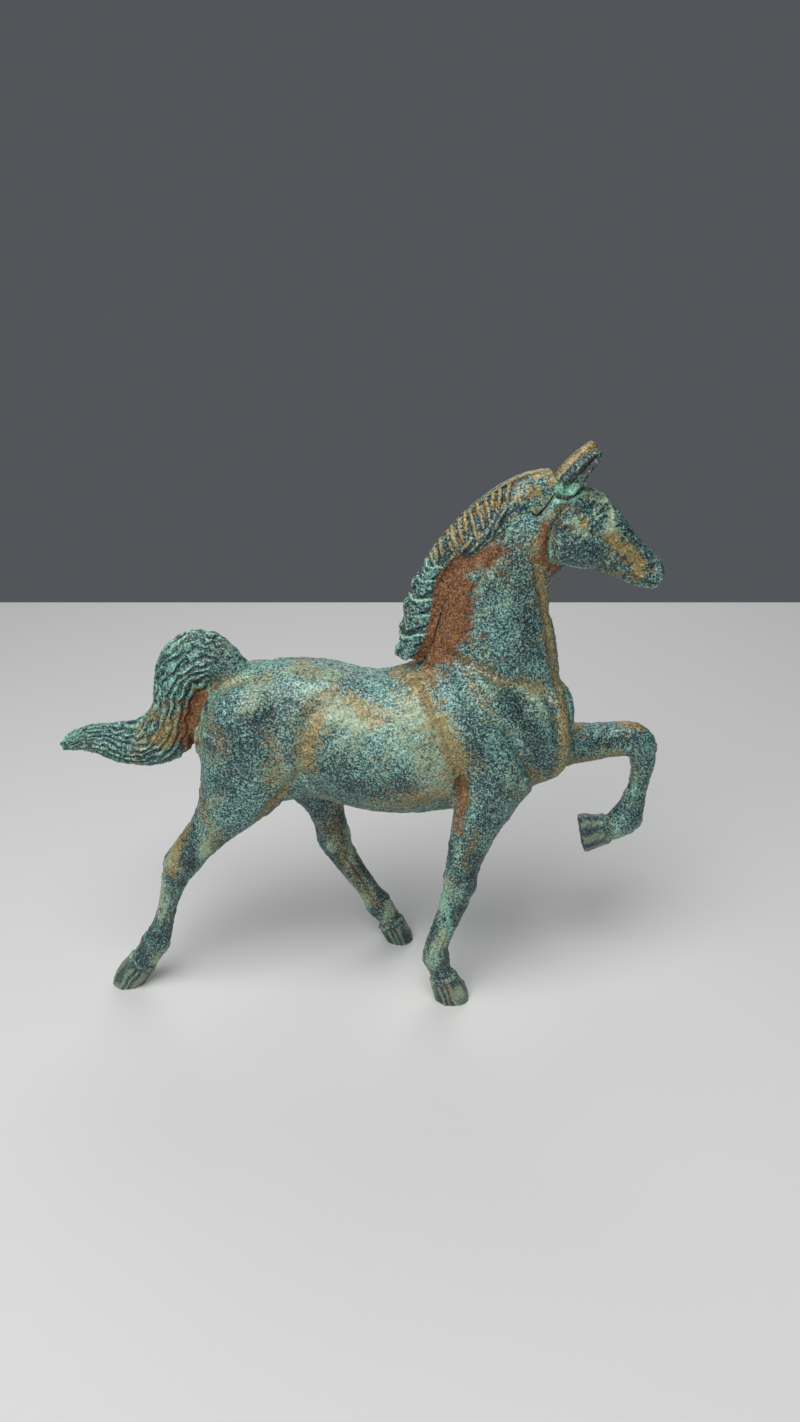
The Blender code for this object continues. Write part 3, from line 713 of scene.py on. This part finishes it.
def sculpt_tail(skin):
    """Wavy ridges of hair that run along the tail."""
    line = smooth_curve(TAIL_LINE, TAIL_STEP)
    spots = skin.points[:, [0, 2]]
    picked = np.flatnonzero((skin.points[:, 0] < -31.5) & (skin.points[:, 2] > 46.5)
                            & (np.abs(skin.points[:, 1]) < 6.5))
    square = ((spots[picked][:, None, :] - line[None]) ** 2).sum(axis=2)
    nearest = square.argmin(axis=1)
    tangent = np.gradient(line, axis=0)
    tangent /= np.linalg.norm(tangent, axis=1)[:, None]
    away = spots[picked] - line[nearest]
    offset = away[:, 0] * -tangent[nearest, 1] + away[:, 1] * tangent[nearest, 0]
    along = nearest * TAIL_STEP
    inside = (along > 1.0) & (np.sqrt(square.min(axis=1)) < 7.5)
    on_tail = inside & (spots[picked][:, 0] < -33 - 0.45 * (66 - spots[picked][:, 1]).clip(0, 12))
    around = np.arctan2(offset, skin.points[picked, 1])
    drift = ripple(skin.points[picked], 7.0, 41)
    fine = ripple(skin.points[picked], 2.4, 42)
    wave = around * 17.0 + 2.0 * np.sin(along * 0.30) + 1.2 * drift + 0.9 * fine
    weight = on_tail * ease(along / 3.5) * (1 - 0.35 * ease((along - 30) / 12))
    height = np.zeros(len(skin.points))
    crest = np.sin(wave) + 0.35 * np.sin(2.3 * wave + along * 0.3)
    height[picked] = 0.24 * crest * weight
    skin.lift(height)
    skin.lay("mint", weight * np.clip(0.05 + 0.50 * crest + 0.2 * fine, 0, 0.8), picked)
    # dark in the grooves between the ridges: painted shade, over the tail's own darker tone
    skin.lay("dark", weight * np.clip(0.45 - 0.8 * crest, 0, 1.2), picked)
    middle = weight * bell(along - 22, 7) * ease(0.6 + 0.6 * drift)
    skin.lay("ochre", 1.1 * middle * (1 - 0.5 * ease(-crest)), picked)
    # painted highlight: mint on the upward faces of the tail's tip
    tip = weight * ease((along - 36) / 6) * ease(skin.normals[picked, 2] * 2)
    skin.lay("mint", tip, picked)


def paint_stains_and_light(skin):
    """Deposits in the hollows, bright verdigris on the edges and the patches between, with the painted
    highlights and painted shade laid from the stroke table.
    """
    for table, sides in ((STREAKS, BOTH), (RIGHT_STREAKS, RIGHT)):
        for name, strokes in table.items():
            for outline, width, amount in strokes:
                for side in sides:
                    skin.stain(name, skin.trace(outline, side), width, amount)
    x, _, z = skin.points.T
    hollow = skin.hollows(10)
    off_tail = ease((x + 37) / 3)            # 1 in front of the tail
    skin.lay("ochre", np.clip(hollow * 6 * (0.7 + 0.4 * skin.ragged), 0, 0.55) * off_tail)
    skin.lay("mint", np.clip(-hollow * 4 - 0.15, 0, 0.35))
    head = ease((x - 26.5) / 2) * ease((z - 84.5) / 2)
    skin.lay("dark", head * np.clip(0.40 + 0.2 * skin.ragged, 0, 1))
    skin.stains["dark"] *= 1 - 0.9 * head * np.clip(skin.stains["pale"], 0, 1)
    low = ease((40 - z) / 6)                 # 1 on the legs, below the trunk
    patch = ripple(skin.points * (1, 1, 0.5), 4.5, 51)
    skin.lay("dark", low * np.clip(0.5 + 0.6 * patch, 0, 1.2))
    skin.lay("pale", low * np.clip(-0.15 - 0.7 * patch, 0, 0.9))
    raised_sole = (x > 34) & (z < 36) & (skin.normals[:, 0] < -0.75)
    skin.lay("dark", 1.0 * raised_sole)
    skin.stains["streak"][raised_sole] = 0


def build_body_skin():
    """Every large casting as one sculpted skin."""
    names = list(CASTINGS) + [name for name in frame["nodes"] if name.endswith("_dowel")]
    bm = node_bmesh(names)
    grow(bm, GROW)
    skin = Skin(fused_mesh(bm, BODY_VOXEL))
    skin.lift(np.full(len(skin.points), -GROW))
    skin.relax(12)
    skin.refresh()
    sculpt_muscles(skin)
    skin.refresh()
    sculpt_lines(skin)
    skin.refresh()
    sculpt_face(skin)
    for side, joints in LEGS.values():
        sculpt_leg(skin, side, joints)
    skin.refresh()
    sculpt_tail(skin)
    skin.refresh()
    paint_stains_and_light(skin)
    skin.lift(0.05 * ripple(skin.points, 1.7, 3) + 0.03 * ripple(skin.points, 0.9, 4))
    skin.points[:, 2] = np.maximum(skin.points[:, 2], 0)
    return skin


# ==== sawing the body into its castings =======================================================
def cut_frame(name):
    """The frame of a saw cut: its normal is the local Z axis, Y stays across the horse."""
    centre, (nx, nz), _, _, _ = CUTS[name]
    normal = Vector((nx, 0, nz)).normalized()
    across = Vector((0, 1, 0))
    turned = Matrix((across.cross(normal), across, normal)).transposed().to_4x4()
    turned.translation = Vector(centre)
    return turned


def chains(edges):
    """Connected runs of cut edges, each with the points where it ends."""
    links = {}
    for edge in edges:
        for vert in edge.verts:
            links.setdefault(vert, []).append(edge)
    runs, seen = [], set()
    for edge in edges:
        if edge in seen:
            continue
        group, stack = [], [edge]
        seen.add(edge)
        while stack:
            current = stack.pop()
            group.append(current)
            for vert in current.verts:
                for other in links[vert]:
                    if other not in seen:
                        seen.add(other)
                        stack.append(other)
        counts = {vert: len(links[vert]) for e in group for vert in e.verts}
        if max(counts.values()) == 2:
            runs.append((group, [vert for vert, count in counts.items() if count == 1]))
    return runs


def on_plate(name, margin=0.0):
    """A test for edges that lie on one plate, and not beyond the plate it meets."""
    _, _, half_length, half_width, _ = CUTS[name]
    back = cut_frame(name).inverted()
    other = cut_frame(PAIRS[name]).inverted() if name in PAIRS else None

    def test(edge):
        for vert in edge.verts:
            spot = back @ vert.co
            if (abs(spot.z) > PLATE_TOLERANCE + 0.02 * margin or abs(spot.x) > half_length + margin
                    or abs(spot.y) > half_width + margin):
                return False
        middle = (edge.verts[0].co + edge.verts[1].co) / 2
        return other is None or (other @ middle).z < 1e-4
    return test


def score(bm, name):
    """Cut new points and edges into the skin where it meets one plate."""
    _, _, half_length, half_width, _ = CUTS[name]
    place = cut_frame(name)
    back = place.inverted()

    def inside(face):
        spot = back @ face.calc_center_median()
        return abs(spot.x) < half_length and abs(spot.y) < half_width and abs(spot.z) < 1.0

    faces = [face for face in bm.faces if inside(face)]
    edges = {edge for face in faces for edge in face.edges}
    verts = {vert for face in faces for vert in face.verts}
    made = bmesh.ops.bisect_plane(bm, geom=faces + list(edges) + list(verts), dist=1e-4,
                                  plane_co=place.translation, plane_no=place.col[2].to_3d())
    return {item for item in made["geom_cut"] if isinstance(item, bmesh.types.BMEdge)}


def saw(bm, names):
    """Cut the skin along plates that meet, so that the two sides no longer share any point."""
    cut = score(bm, names[0])
    if len(names) == 2:
        second = score(bm, names[1])
        crossed = {vert for edge in second for vert in edge.verts}
        cut |= {edge for vert in crossed for edge in vert.link_edges}
        cut = {edge for edge in cut if edge.is_valid}
        cut = set(filter(on_plate(names[0]), cut)) | set(filter(on_plate(names[1]), second))
    closed = [edge for run, ends in chains(cut) if not ends for edge in run]
    bmesh.ops.split_edges(bm, edges=closed)


def cap(bm, name):
    """Close a sawn face, with the bore for its dowel where there is one."""
    place = cut_frame(name)
    back = place.inverted()
    normal = place.col[2].to_3d()
    half_length, dowel = CUTS[name][2], CUTS[name][4]
    here = on_plate(name, 1.0)
    rims = [edge for edge in bm.edges if len(edge.link_faces) == 1 and here(edge)]
    for rim, ends in chains(rims):
        link = rim[0].link_faces[0]
        side = 1 if (back @ link.calc_center_median()).z > 0 else -1
        rim_verts = {vert for edge in rim for vert in edge.verts}
        middle = sum((back @ v.co for v in rim_verts), Vector()) / len(rim_verts)
        fill = list(rim)
        if len(ends) == 2:
            fill.append(bm.edges.get(ends) or bm.edges.new(ends))
        ring = []
        if dowel and abs(middle.x - dowel[2]) < half_length:
            radius, half, along = dowel
            spots = [place @ Vector((along + (radius + BORE_GAP) * math.cos(a),
                                     (radius + BORE_GAP) * math.sin(a), 0))
                     for a in np.linspace(0, 2 * math.pi, BORE_SIDES, endpoint=False)]
            ring = [bm.verts.new(spot) for spot in spots]
            fill += [bm.edges.new((a, b)) for a, b in zip(ring, ring[1:] + ring[:1])]
        bmesh.ops.triangle_fill(bm, edges=fill, use_beauty=True, use_dissolve=False, normal=normal)
        if ring:
            deep = [bm.verts.new(v.co + normal * side * (half + BORE_GAP)) for v in ring]
            for k in range(BORE_SIDES):
                n = (k + 1) % BORE_SIDES
                bm.faces.new((ring[k], ring[n], deep[n], deep[k]))
            bm.faces.new(deep)
        for vert in rim_verts:
            vert.co += normal * side * SEAM


def saw_up(skin):
    """Saw the body skin into closed castings and name each after the CAD node inside it."""
    bm = opened(skin.mesh_with_stains())
    for name in CUTS:
        if name != "buttock":                # sawn together with the tail
            saw(bm, [name, PAIRS[name]] if name in PAIRS else [name])
    for name in CUTS:
        cap(bm, name)
    bmesh.ops.triangulate(bm, faces=[face for face in bm.faces if len(face.verts) > 4])
    whole = new_mesh("whole", bm)
    label = body_numbers(whole)
    points = mesh_points(whole)
    castings = {}
    for number in np.flatnonzero(np.bincount(label) > SMALLEST_CASTING):
        middle = points[label == number].mean(axis=0)
        name = min(CASTINGS, key=lambda n: np.linalg.norm(np.array(CASTINGS[n]) - middle))
        part = one_body(whole, label, number)
        bmesh.ops.recalc_face_normals(part, faces=part.faces)
        castings[name] = part
    bpy.data.meshes.remove(whole)
    return castings


def new_piece(name, bm, material, node):
    """A finished piece in the CAD frame, riding on the model in the place of its CAD node."""
    bmesh.ops.translate(bm, vec=Vector(SHIFT), verts=bm.verts)
    bmesh.ops.scale(bm, vec=(MM,) * 3, verts=bm.verts)
    mesh = new_mesh(name, bm)
    mesh.shade_smooth()
    mesh.set_sharp_from_angle(angle=math.radians(60))
    mesh.materials.clear()
    mesh.materials.append(material)
    piece = new_object(name, mesh)
    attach(piece, "root")
    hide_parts(node)
    return piece


# ==== mane and ears ===========================================================================
# crest of the mane from the withers to the poll, and its lower edge on the side of the neck
CREST = [(1.0, 70.9), (0.9, 74.4), (1.8, 78.6), (3.2, 83.4), (5.4, 88.6), (8.8, 93.6), (12.6, 97.8),
         (16.6, 101.0), (20.8, 103.4), (25.0, 105.2), (28.4, 106.4)]
HEM = [(3.2, 70.6), (5.6, 73.8), (6.9, 78.2), (7.4, 82.4), (7.9, 86.6), (11.0, 90.2), (14.6, 92.4),
       (17.4, 95.6), (19.8, 99.0), (23.2, 101.2), (27.6, 102.6)]
MANE_SAMPLES = 200               # places along the crest and the hem
RIDGE_COUNT = 13
SWEPT_STRANDS = 6
HAIRS_PER_LOCK = 4
CREST_OUTSET = 1.0               # from the crest line to the edge of the hair
HEM_MARGIN = 1.2                 # below the hem, where the neck's own width is taken
EDGE_HALF_WIDTH = 0.7            # of the mane along its outer edge
LOCK_ROWS = [(0.012, 0.85), (0.080, 1.0), (0.158, 0.95), (0.228, 1.1), (0.306, 1.0), (0.368, 0.9)]


def mane_place(points, crest, hem):
    """Where points lie on the mane: the share up the neck, and how far down from the crest."""
    spots = points[:, [0, 2]]
    stride = 3                   # every third place is close enough
    gaps = [np.sqrt(((spots[:, None] - line[None, ::stride]) ** 2).sum(axis=2)) for line in (crest, hem)]
    share = gaps[0].argmin(axis=1) * stride / (len(crest) - 1)
    return share, gaps[0].min(axis=1) / (gaps[0].min(axis=1) + gaps[1].min(axis=1))


class ManeForm:
    """The outline of the mane, and its half width so that it lies flush with the neck."""

    def __init__(self, body_tree):
        crest, hem = (smooth_curve(line, 0.25) for line in (CREST, HEM))
        crest, hem = (line[np.linspace(0, len(line) - 1, MANE_SAMPLES).astype(int)]
                      for line in (crest, hem))
        self.depth = np.linalg.norm(crest - hem, axis=1)
        inward = (hem - crest) / self.depth[:, None]
        self.crest = crest - CREST_OUTSET * inward
        self.hem = hem
        self.depth += CREST_OUTSET
        self.tree = body_tree
        beside = np.array([self.wall(*spot) for spot in hem + HEM_MARGIN * inward])
        padded = np.pad(np.clip(beside, EDGE_HALF_WIDTH + 0.5, 6.0), 12, mode="edge")
        self.rim = np.convolve(padded, np.ones(25) / 25, mode="valid")

    def wall(self, x, z):
        """Half width of the body below the mane, 0 where there is none."""
        hit = seen_from(self.tree, -1, x, z)
        return 0.0 if hit is None else -hit.y

    def half_width(self, x, z, proud):
        """How far from the middle plane the mane's surface lies at one place of its outline."""
        gaps = np.sqrt(((self.crest - (x, z)) ** 2).sum(axis=1))
        i = int(gaps.argmin())
        roof = math.sin(min(1.0, gaps[i] / self.depth[i]) * math.pi / 2)
        roof = EDGE_HALF_WIDTH + (self.rim[i] - EDGE_HALF_WIDTH) * roof
        return max(0.3, max(roof, self.wall(x, z)) + proud)

    def spot(self, share, down, side, proud):
        """A point on the mane: share runs up the neck, down runs from the crest to the hem."""
        i = int(np.clip(share, 0, 1) * (MANE_SAMPLES - 1))
        x, z = self.crest[i] * (1 - down) + self.hem[i] * down
        return Vector((x, side * self.half_width(x, z, proud), z))


def build_mane_skin(body):
    """The mane: combed ridges over the upper crest and locks flicked back below them."""
    form = ManeForm(body.tree)
    spot = form.spot
    bm = node_bmesh(["mane"])
    grow(bm, MANE_GROW)
    core = Skin(fused_mesh(bm, MANE_CORE_VOXEL))
    share, down = mane_place(core.points, form.crest, form.hem)
    proud = 0.22 * (1 - ease((down - 0.60) / 0.35)) - 0.15 * ease((share - 0.78) / 0.08)
    proud -= 0.5 * ease((share - 0.94) / 0.06)
    for point, rise in zip(core.points, proud):
        hit = seen_from(core.tree, -1, point[0], point[2])
        present = abs(point[1]) if hit is None else max(-hit.y, abs(point[1]))
        wanted = form.half_width(point[0], point[2], rise)
        point[1] *= min(wanted / max(present, 0.3), 2.5)
    core.refresh()
    bm = opened(core.mesh)

    draw = np.random.default_rng(5)
    for side in BOTH:
        for k in range(RIDGE_COUNT):                     # combed ridges over the upper crest
            share = 0.42 + 0.38 * k / (RIDGE_COUNT - 1) + draw.uniform(-0.009, 0.009)
            reach = draw.uniform(0.36, 0.72)
            size = draw.uniform(0.75, 1.25)
            top = spot(share + 0.006, -0.01, side, 0)
            path = [Vector((top.x, 0, top.z))]
            path += [spot(share - 0.020 * j / 5, 0.03 + reach * j / 5, side, 0.30) for j in range(6)]
            add_strand(bm, path, [0.45, 0.45, 0.52 * size, 0.56 * size, 0.50 * size, 0.40 * size, 0.12])
        for row in range(SWEPT_STRANDS):                 # long strands that sweep down below them
            start = 0.78 - 0.060 * row
            low = draw.uniform(0.52, 0.66)
            path = [spot(start - 0.020 * j, low + 0.050 * j, side, 0.32 - 0.05 * j) for j in range(6)]
            add_strand(bm, path, [0.14, 0.36, 0.44, 0.42, 0.32, 0.12])
        for share, size in LOCK_ROWS:                    # locks flicked back off the lower crest
            droop = draw.uniform(-0.008, 0.008)
            for hair in range(HAIRS_PER_LOCK):
                fan = 0.0145 * (hair - 1.5)
                tip = draw.uniform(0.00, 0.07) - 0.02 * hair
                path = [spot(share + 0.062 + 0.2 * fan, 0.92, side, -0.30),
                        spot(share + 0.056 + 0.4 * fan, 0.76, side, 0.10),
                        spot(share + 0.036 + 0.8 * fan, 0.55, side, 0.45),
                        spot(share + 0.008 + fan + droop, 0.33, side, 0.60),
                        spot(share - 0.008 + 1.1 * fan + droop, 0.14 + tip, side, 0.45),
                        spot(share + 0.012 + 0.9 * fan + droop, tip - 0.04, side, -0.10)]
                thick = size * (1.1 if hair == HAIRS_PER_LOCK - 1 else 0.85)
                add_strand(bm, path, [0.12, 0.30 * thick, 0.44 * thick, 0.50 * thick, 0.42 * thick, 0.12])
    bmesh.ops.recalc_face_normals(bm, faces=bm.faces)
    skin = Skin(fused_mesh(bm, MANE_VOXEL))
    skin.relax(2)
    skin.refresh()
    share, down = mane_place(skin.points, form.crest, form.hem)
    hollow = skin.average(skin.hollows(12))
    proud = np.clip(-hollow * 8, 0, 1)
    upper = ease((share - 0.38) / 0.08)
    poll = ease((share - 0.80) / 0.06)
    low = ease((down - 0.55) / 0.15)
    # upward faces of the proud strands, where the painted highlight goes
    highlight_facing_up = ease(skin.normals[:, 2] * 1.4 + 0.1)
    # dark: the mane's own tone, darker in the hollows between the strands as painted shade
    skin.stains["dark"] = (np.clip(hollow * 18 + 0.45, 0, 1.5) * (1 - 0.8 * poll)
                           + 0.5 * low * upper * (1 - poll))
    combed = (0.10 + 1.1 * proud + 0.15 * skin.ragged) * upper * (1 - 0.7 * low)
    # the terms weighted by the upward faces are a painted highlight on the top edges of the strands
    skin.stains["ochre"] = np.clip(combed + 0.55 * highlight_facing_up * proud + 0.45 * poll
                                   + 0.15 * skin.ragged, 0, 1)
    skin.stains["mint"] = np.clip(proud * (highlight_facing_up * (1 - upper) + 0.35 * low * upper)
                                  + 0.10 * skin.ragged, 0, 0.85)
    skin.stains["pale"] = 0.5 * poll * ease(0.5 + skin.ragged) + 0.7 * highlight_facing_up * proud * (1 - upper)
    skin.stains["rust"] = np.clip(1.3 * ease((down - 0.66) / 0.16) * (1 - ease((share - 0.46) / 0.08))
                                  + 0.10 * skin.ragged, 0, 1.3)
    skin.lift(0.03 * ripple(skin.points, 0.9, 12))
    return skin


CUP_LINE = [(29.4, 103.8), (30.9, 105.8), (32.4, 107.6), (33.6, 109.1)]   # middle of the ear's cup
CUP_WIDTH = 0.80
CUP_DEPTH = 0.9


def build_ear_skin(node, side):
    """One ear, cupped towards its own side with a thin rim."""
    bm = node_bmesh([node])
    grow(bm, EAR_GROW)
    skin = Skin(fused_mesh(bm, EAR_VOXEL))
    skin.relax(4)
    skin.refresh()
    height = np.zeros(len(skin.points))
    path = skin.trace(CUP_LINE, side)
    picked, gap, along = skin.near(path, 3)
    width = CUP_WIDTH * (1 - 0.45 * along)
    weight = bell(gap, width)
    height[picked] = -CUP_DEPTH * (1 - 0.5 * along) * weight
    height[picked] += 0.25 * bell(gap - 1.7 * width, 0.35)
    skin.lift(height)
    skin.stains["dark"][:] = 1.1 if side < 0 else 0.5
    skin.stains["dark"][picked] += weight * 0.7
    skin.stains["pale"][picked] = bell(gap - 2.3 * width, 0.25) * 0.8
    skin.stains["mint"] = 0.9 * bell(skin.points[:, 2] - 103.6, 1.1)
    skin.stains["ochre"][:] = 0.85 if side > 0 else 0.25
    skin.refresh()
    return skin


# ==== materials ===============================================================================
class Nodes:
    """Short calls for building a node tree."""

    def __init__(self, material):
        material.use_nodes = True
        self.tree = material.node_tree
        self.shader = self.tree.nodes["Principled BSDF"]

    def feed(self, socket, value):
        """Link another socket to this one, or set its value."""
        if isinstance(value, bpy.types.NodeSocket):
            self.tree.links.new(value, socket)
        else:
            socket.default_value = value

    def add(self, kind, inputs=None, **settings):
        """A node with its settings, and its inputs set or linked."""
        node = self.tree.nodes.new(kind)
        for key, value in settings.items():
            setattr(node, key, value)
        for key, value in (inputs or {}).items():
            self.feed(node.inputs[key], value)
        return node

    def place(self):
        """The place on the object, in millimetres."""
        spot = self.add("ShaderNodeTexCoord").outputs["Object"]
        return self.add("ShaderNodeVectorMath", {0: spot, "Scale": 1 / MM}, operation="SCALE").outputs[0]

    def finish(self, colour, rough, metallic, relief, strength, height):
        """Send the results to the shader; height is the bump's, in millimetres."""
        bump = self.add("ShaderNodeBump", {"Height": relief, "Strength": strength,
                                           "Distance": height * MM})
        for name, value in (("Base Color", colour), ("Roughness", rough), ("Metallic", metallic),
                            ("Normal", bump.outputs[0])):
            self.feed(self.shader.inputs[name], value)

    def math(self, operation, *values, clamp=False):
        """A sum, product or the like of numbers and sockets."""
        inputs = dict(enumerate(values))
        return self.add("ShaderNodeMath", inputs, operation=operation, use_clamp=clamp).outputs[0]

    def plus(self, *values, **settings):
        """A sum of two."""
        return self.math("ADD", *values, **settings)

    def minus(self, *values, **settings):
        """The first less the second."""
        return self.math("SUBTRACT", *values, **settings)

    def times(self, *values):
        """A product of two."""
        return self.math("MULTIPLY", *values)

    def noise(self, where, scale, detail=2.0, roughness=0.5, distortion=0.0):
        """A noise value around a half; scale is in lumps per millimetre."""
        return self.add("ShaderNodeTexNoise", {"Vector": where, "Scale": scale, "Detail": detail,
                                               "Roughness": roughness, "Distortion": distortion}
                        ).outputs["Fac"]

    def ramp(self, value, stops):
        """A colour ramp from (place, colour) stops."""
        node = self.add("ShaderNodeValToRGB", {"Fac": value})
        elements = node.color_ramp.elements
        while len(elements) < len(stops):
            elements.new(0.5)
        for element, (place, colour) in zip(elements, stops):
            element.position = place
            element.color = (*colour, 1)
        return node.outputs["Color"]

    def mix(self, share, first, second):
        """Blend two colours."""
        node = self.add("ShaderNodeMix", data_type="RGBA")
        for number, value in ((0, share), (6, first), (7, second)):     # the colour sockets
            self.feed(node.inputs[number], value)
        return node.outputs[2]

    def weight(self, name):
        """A stain's weight on the skin."""
        return self.add("ShaderNodeAttribute", attribute_name=name).outputs["Fac"]

    def step(self, value, start, stop):
        """0 below start, 1 above stop, smooth between."""
        node = self.add("ShaderNodeMapRange", {"Value": value, "From Min": start, "From Max": stop},
                        interpolation_type="SMOOTHSTEP")
        return node.outputs["Result"]


BLACK = (0.010, 0.018, 0.024)
PATINA_TEAL = [(0.34, BLACK), (0.44, (0.030, 0.066, 0.072)), (0.50, (0.076, 0.168, 0.160)),
               (0.57, (0.140, 0.300, 0.266)), (0.72, (0.290, 0.510, 0.440))]
PATINA_SAGE = [(0.33, (0.020, 0.028, 0.020)), (0.43, (0.075, 0.095, 0.058)),
               (0.50, (0.180, 0.235, 0.150)), (0.58, (0.280, 0.370, 0.245)), (0.72, (0.450, 0.580, 0.430))]
OCHRES = [(0.34, (0.060, 0.040, 0.012)), (0.46, (0.210, 0.140, 0.040)), (0.60, (0.390, 0.265, 0.085)),
          (0.76, (0.520, 0.440, 0.240))]
RUSTS = [(0.36, (0.020, 0.008, 0.004)), (0.46, (0.120, 0.045, 0.016)), (0.58, (0.240, 0.105, 0.038)),
         (0.74, (0.420, 0.230, 0.100))]
MINTS = [(0.34, (0.060, 0.200, 0.150)), (0.50, (0.190, 0.460, 0.340)), (0.68, (0.400, 0.720, 0.540))]


def patina_material():
    """Granular verdigris over near-black bronze, with deposits where the stains say; the dark and pale
    weights also bring in painted shade and painted highlights.
    """
    material = bpy.data.materials.new("verdigris_bronze_patina")
    nodes = Nodes(material)
    where = nodes.place()
    grain = nodes.noise(where, 2.7, 3.0, 0.70)
    speck = nodes.noise(where, 4.2, 2.0, 0.6)
    cloud = nodes.noise(where, 0.25, 3.0, 0.60)
    drift = nodes.noise(where, 0.11, 2.0, 0.5, 0.6)
    broken = nodes.noise(where, 1.0, 4.0, 0.65)
    worm = nodes.noise(where, 0.75, 1.5, 0.5, 1.6)
    dark, pale = nodes.weight("dark"), nodes.weight("pale")

    vein = nodes.math("ABSOLUTE", nodes.minus(worm, 0.5))
    vein = nodes.minus(1.0, nodes.step(vein, 0.010, 0.040))
    vein = nodes.times(vein, nodes.step(broken, 0.42, 0.50))
    greenish = nodes.step(nodes.plus(drift, nodes.times(pale, 0.22)), 0.42, 0.72)
    greenish = nodes.times(greenish, nodes.minus(1.0, dark, clamp=True))
    gain = nodes.math("MULTIPLY_ADD", greenish, -1.0, 1.75)
    coarse = nodes.times(nodes.minus(grain, 0.5), gain)
    level = nodes.plus(coarse, 0.515)
    level = nodes.plus(level, nodes.times(nodes.minus(cloud, 0.5), 0.22))
    # the dark and pale weights darken and lighten the patina: its own tone in places, painted shade and
    # painted highlights in others
    level = nodes.minus(level, nodes.times(dark, 0.12))
    level = nodes.plus(level, nodes.times(pale, 0.10))
    level = nodes.minus(level, nodes.times(vein, 0.16))
    teal = nodes.ramp(level, PATINA_TEAL)
    sage = nodes.ramp(level, PATINA_SAGE)
    colour = nodes.mix(greenish, teal, sage)

    def deposit(colour, name, stops, most):
        """Lay one deposit, broken up where its stain is thin."""
        weight = nodes.weight(name)
        speckle = nodes.times(nodes.minus(grain, 0.5), 1.3)
        patch = nodes.times(nodes.minus(broken, 0.5), 1.5)
        share = nodes.plus(nodes.plus(weight, speckle), patch)
        share = nodes.times(nodes.step(share, 0.15, 1.0), nodes.step(weight, 0.02, 0.25))
        share = nodes.times(share, most)
        tone = nodes.times(nodes.plus(speck, grain), 0.85)
        tone = nodes.minus(tone, 0.345)
        return nodes.mix(share, colour, nodes.ramp(tone, stops)), share

    colour, _ = deposit(colour, "ochre", OCHRES, 0.85)
    colour, _ = deposit(colour, "mint", MINTS, 0.90)
    colour, rust = deposit(colour, "rust", RUSTS, 1.0)
    streak = nodes.plus(nodes.weight("streak"), nodes.minus(grain, 0.5))
    horn = nodes.mix(nodes.step(streak, 0.45, 0.95), (0.025, 0.035, 0.045, 1), (0.24, 0.29, 0.19, 1))
    colour = nodes.mix(nodes.times(nodes.step(streak, 0.1, 0.3), 0.6), colour, horn)

    rough = nodes.plus(0.31, nodes.times(grain, 0.20))
    rough = nodes.plus(rough, nodes.times(rust, 0.30), clamp=True)
    relief = nodes.plus(grain, nodes.times(speck, nodes.plus(0.4, rust)))
    nodes.finish(colour, rough, 0.10, relief, 0.6, 0.14)
    return material


def dowel_material():
    """Bare bronze with a fine grain and a little tarnish."""
    material = bpy.data.materials.new("bare_bronze_turned")
    nodes = Nodes(material)
    where = nodes.place()
    tarnish = nodes.noise(where, 0.8, 4.0, 0.6)
    colour = nodes.ramp(tarnish, [(0.35, (0.22, 0.12, 0.05)), (0.55, (0.55, 0.36, 0.15)),
                                  (0.75, (0.72, 0.52, 0.26))])
    rough = nodes.plus(0.22, nodes.times(tarnish, 0.3))
    nodes.finish(colour, rough, 1.0, nodes.noise(where, 6.0, 1.0), 0.3, 0.03)
    return material


def floor_material():
    """Plain pale grey."""
    material = bpy.data.materials.new("pale_floor")
    nodes = Nodes(material)
    nodes.shader.inputs["Base Color"].default_value = (0.60, 0.60, 0.59, 1)
    nodes.shader.inputs["Roughness"].default_value = 0.75
    return material


# ==== stage ===================================================================================
def build_stage():
    """A plain pale floor, soft studio light and the camera."""
    bm = bmesh.new()
    bmesh.ops.create_grid(bm, x_segments=1, y_segments=1, size=FLOOR_SIZE / 2,
                          matrix=Matrix.Rotation(math.radians(CAMERA_TURN[2]), 4, "Z")
                          @ Matrix.Translation((0, FLOOR_FAR_EDGE - FLOOR_SIZE / 2, 0)))
    floor = new_object("floor", new_mesh("floor", bm))
    floor.data.materials.append(floor_material())

    world = bpy.data.worlds.new("studio")
    world.use_nodes = True
    world.node_tree.nodes["Background"].inputs[0].default_value = WORLD_GREY
    bpy.context.scene.world = world
    bpy.context.scene.view_settings.view_transform = "Standard"

    target = Vector((0, 0, 0.055))
    for name, (spot, size, power) in LAMPS.items():
        light = bpy.data.lights.new(name, "AREA")
        light.shape = "DISK"
        light.size = size
        light.energy = power
        lamp = new_object(name, light)
        lamp.location = spot
        lamp.rotation_euler = (target - Vector(spot)).to_track_quat("-Z", "Y").to_euler()

    data = bpy.data.cameras.new("camera")
    data.lens = FOCAL_LENGTH
    data.sensor_width = FILM_SIZE
    data.sensor_fit = "AUTO"
    data.clip_start = 0.01
    camera = new_object("camera", data)
    camera.location = Vector(CAMERA_PLACE) * MM
    camera.rotation_euler = [math.radians(a) for a in CAMERA_TURN]
    bpy.context.scene.camera = camera


def main():
    build_stage()
    patina = patina_material()
    bare = dowel_material()
    body = build_body_skin()
    mane = build_mane_skin(body)
    ears = {node: build_ear_skin(node, side) for node, side in (("right_ear", -1), ("left_ear", 1))}
    castings = saw_up(body)
    for name, skin in {"mane": mane, **ears}.items():
        castings[name] = opened(skin.mesh_with_stains())
    for name, bm in castings.items():
        new_piece(name + "_casting", bm, patina, name)
    for name, node in frame["nodes"].items():
        if name.endswith("_dowel"):
            node.data.materials.clear()
            node.data.materials.append(bare)


main()
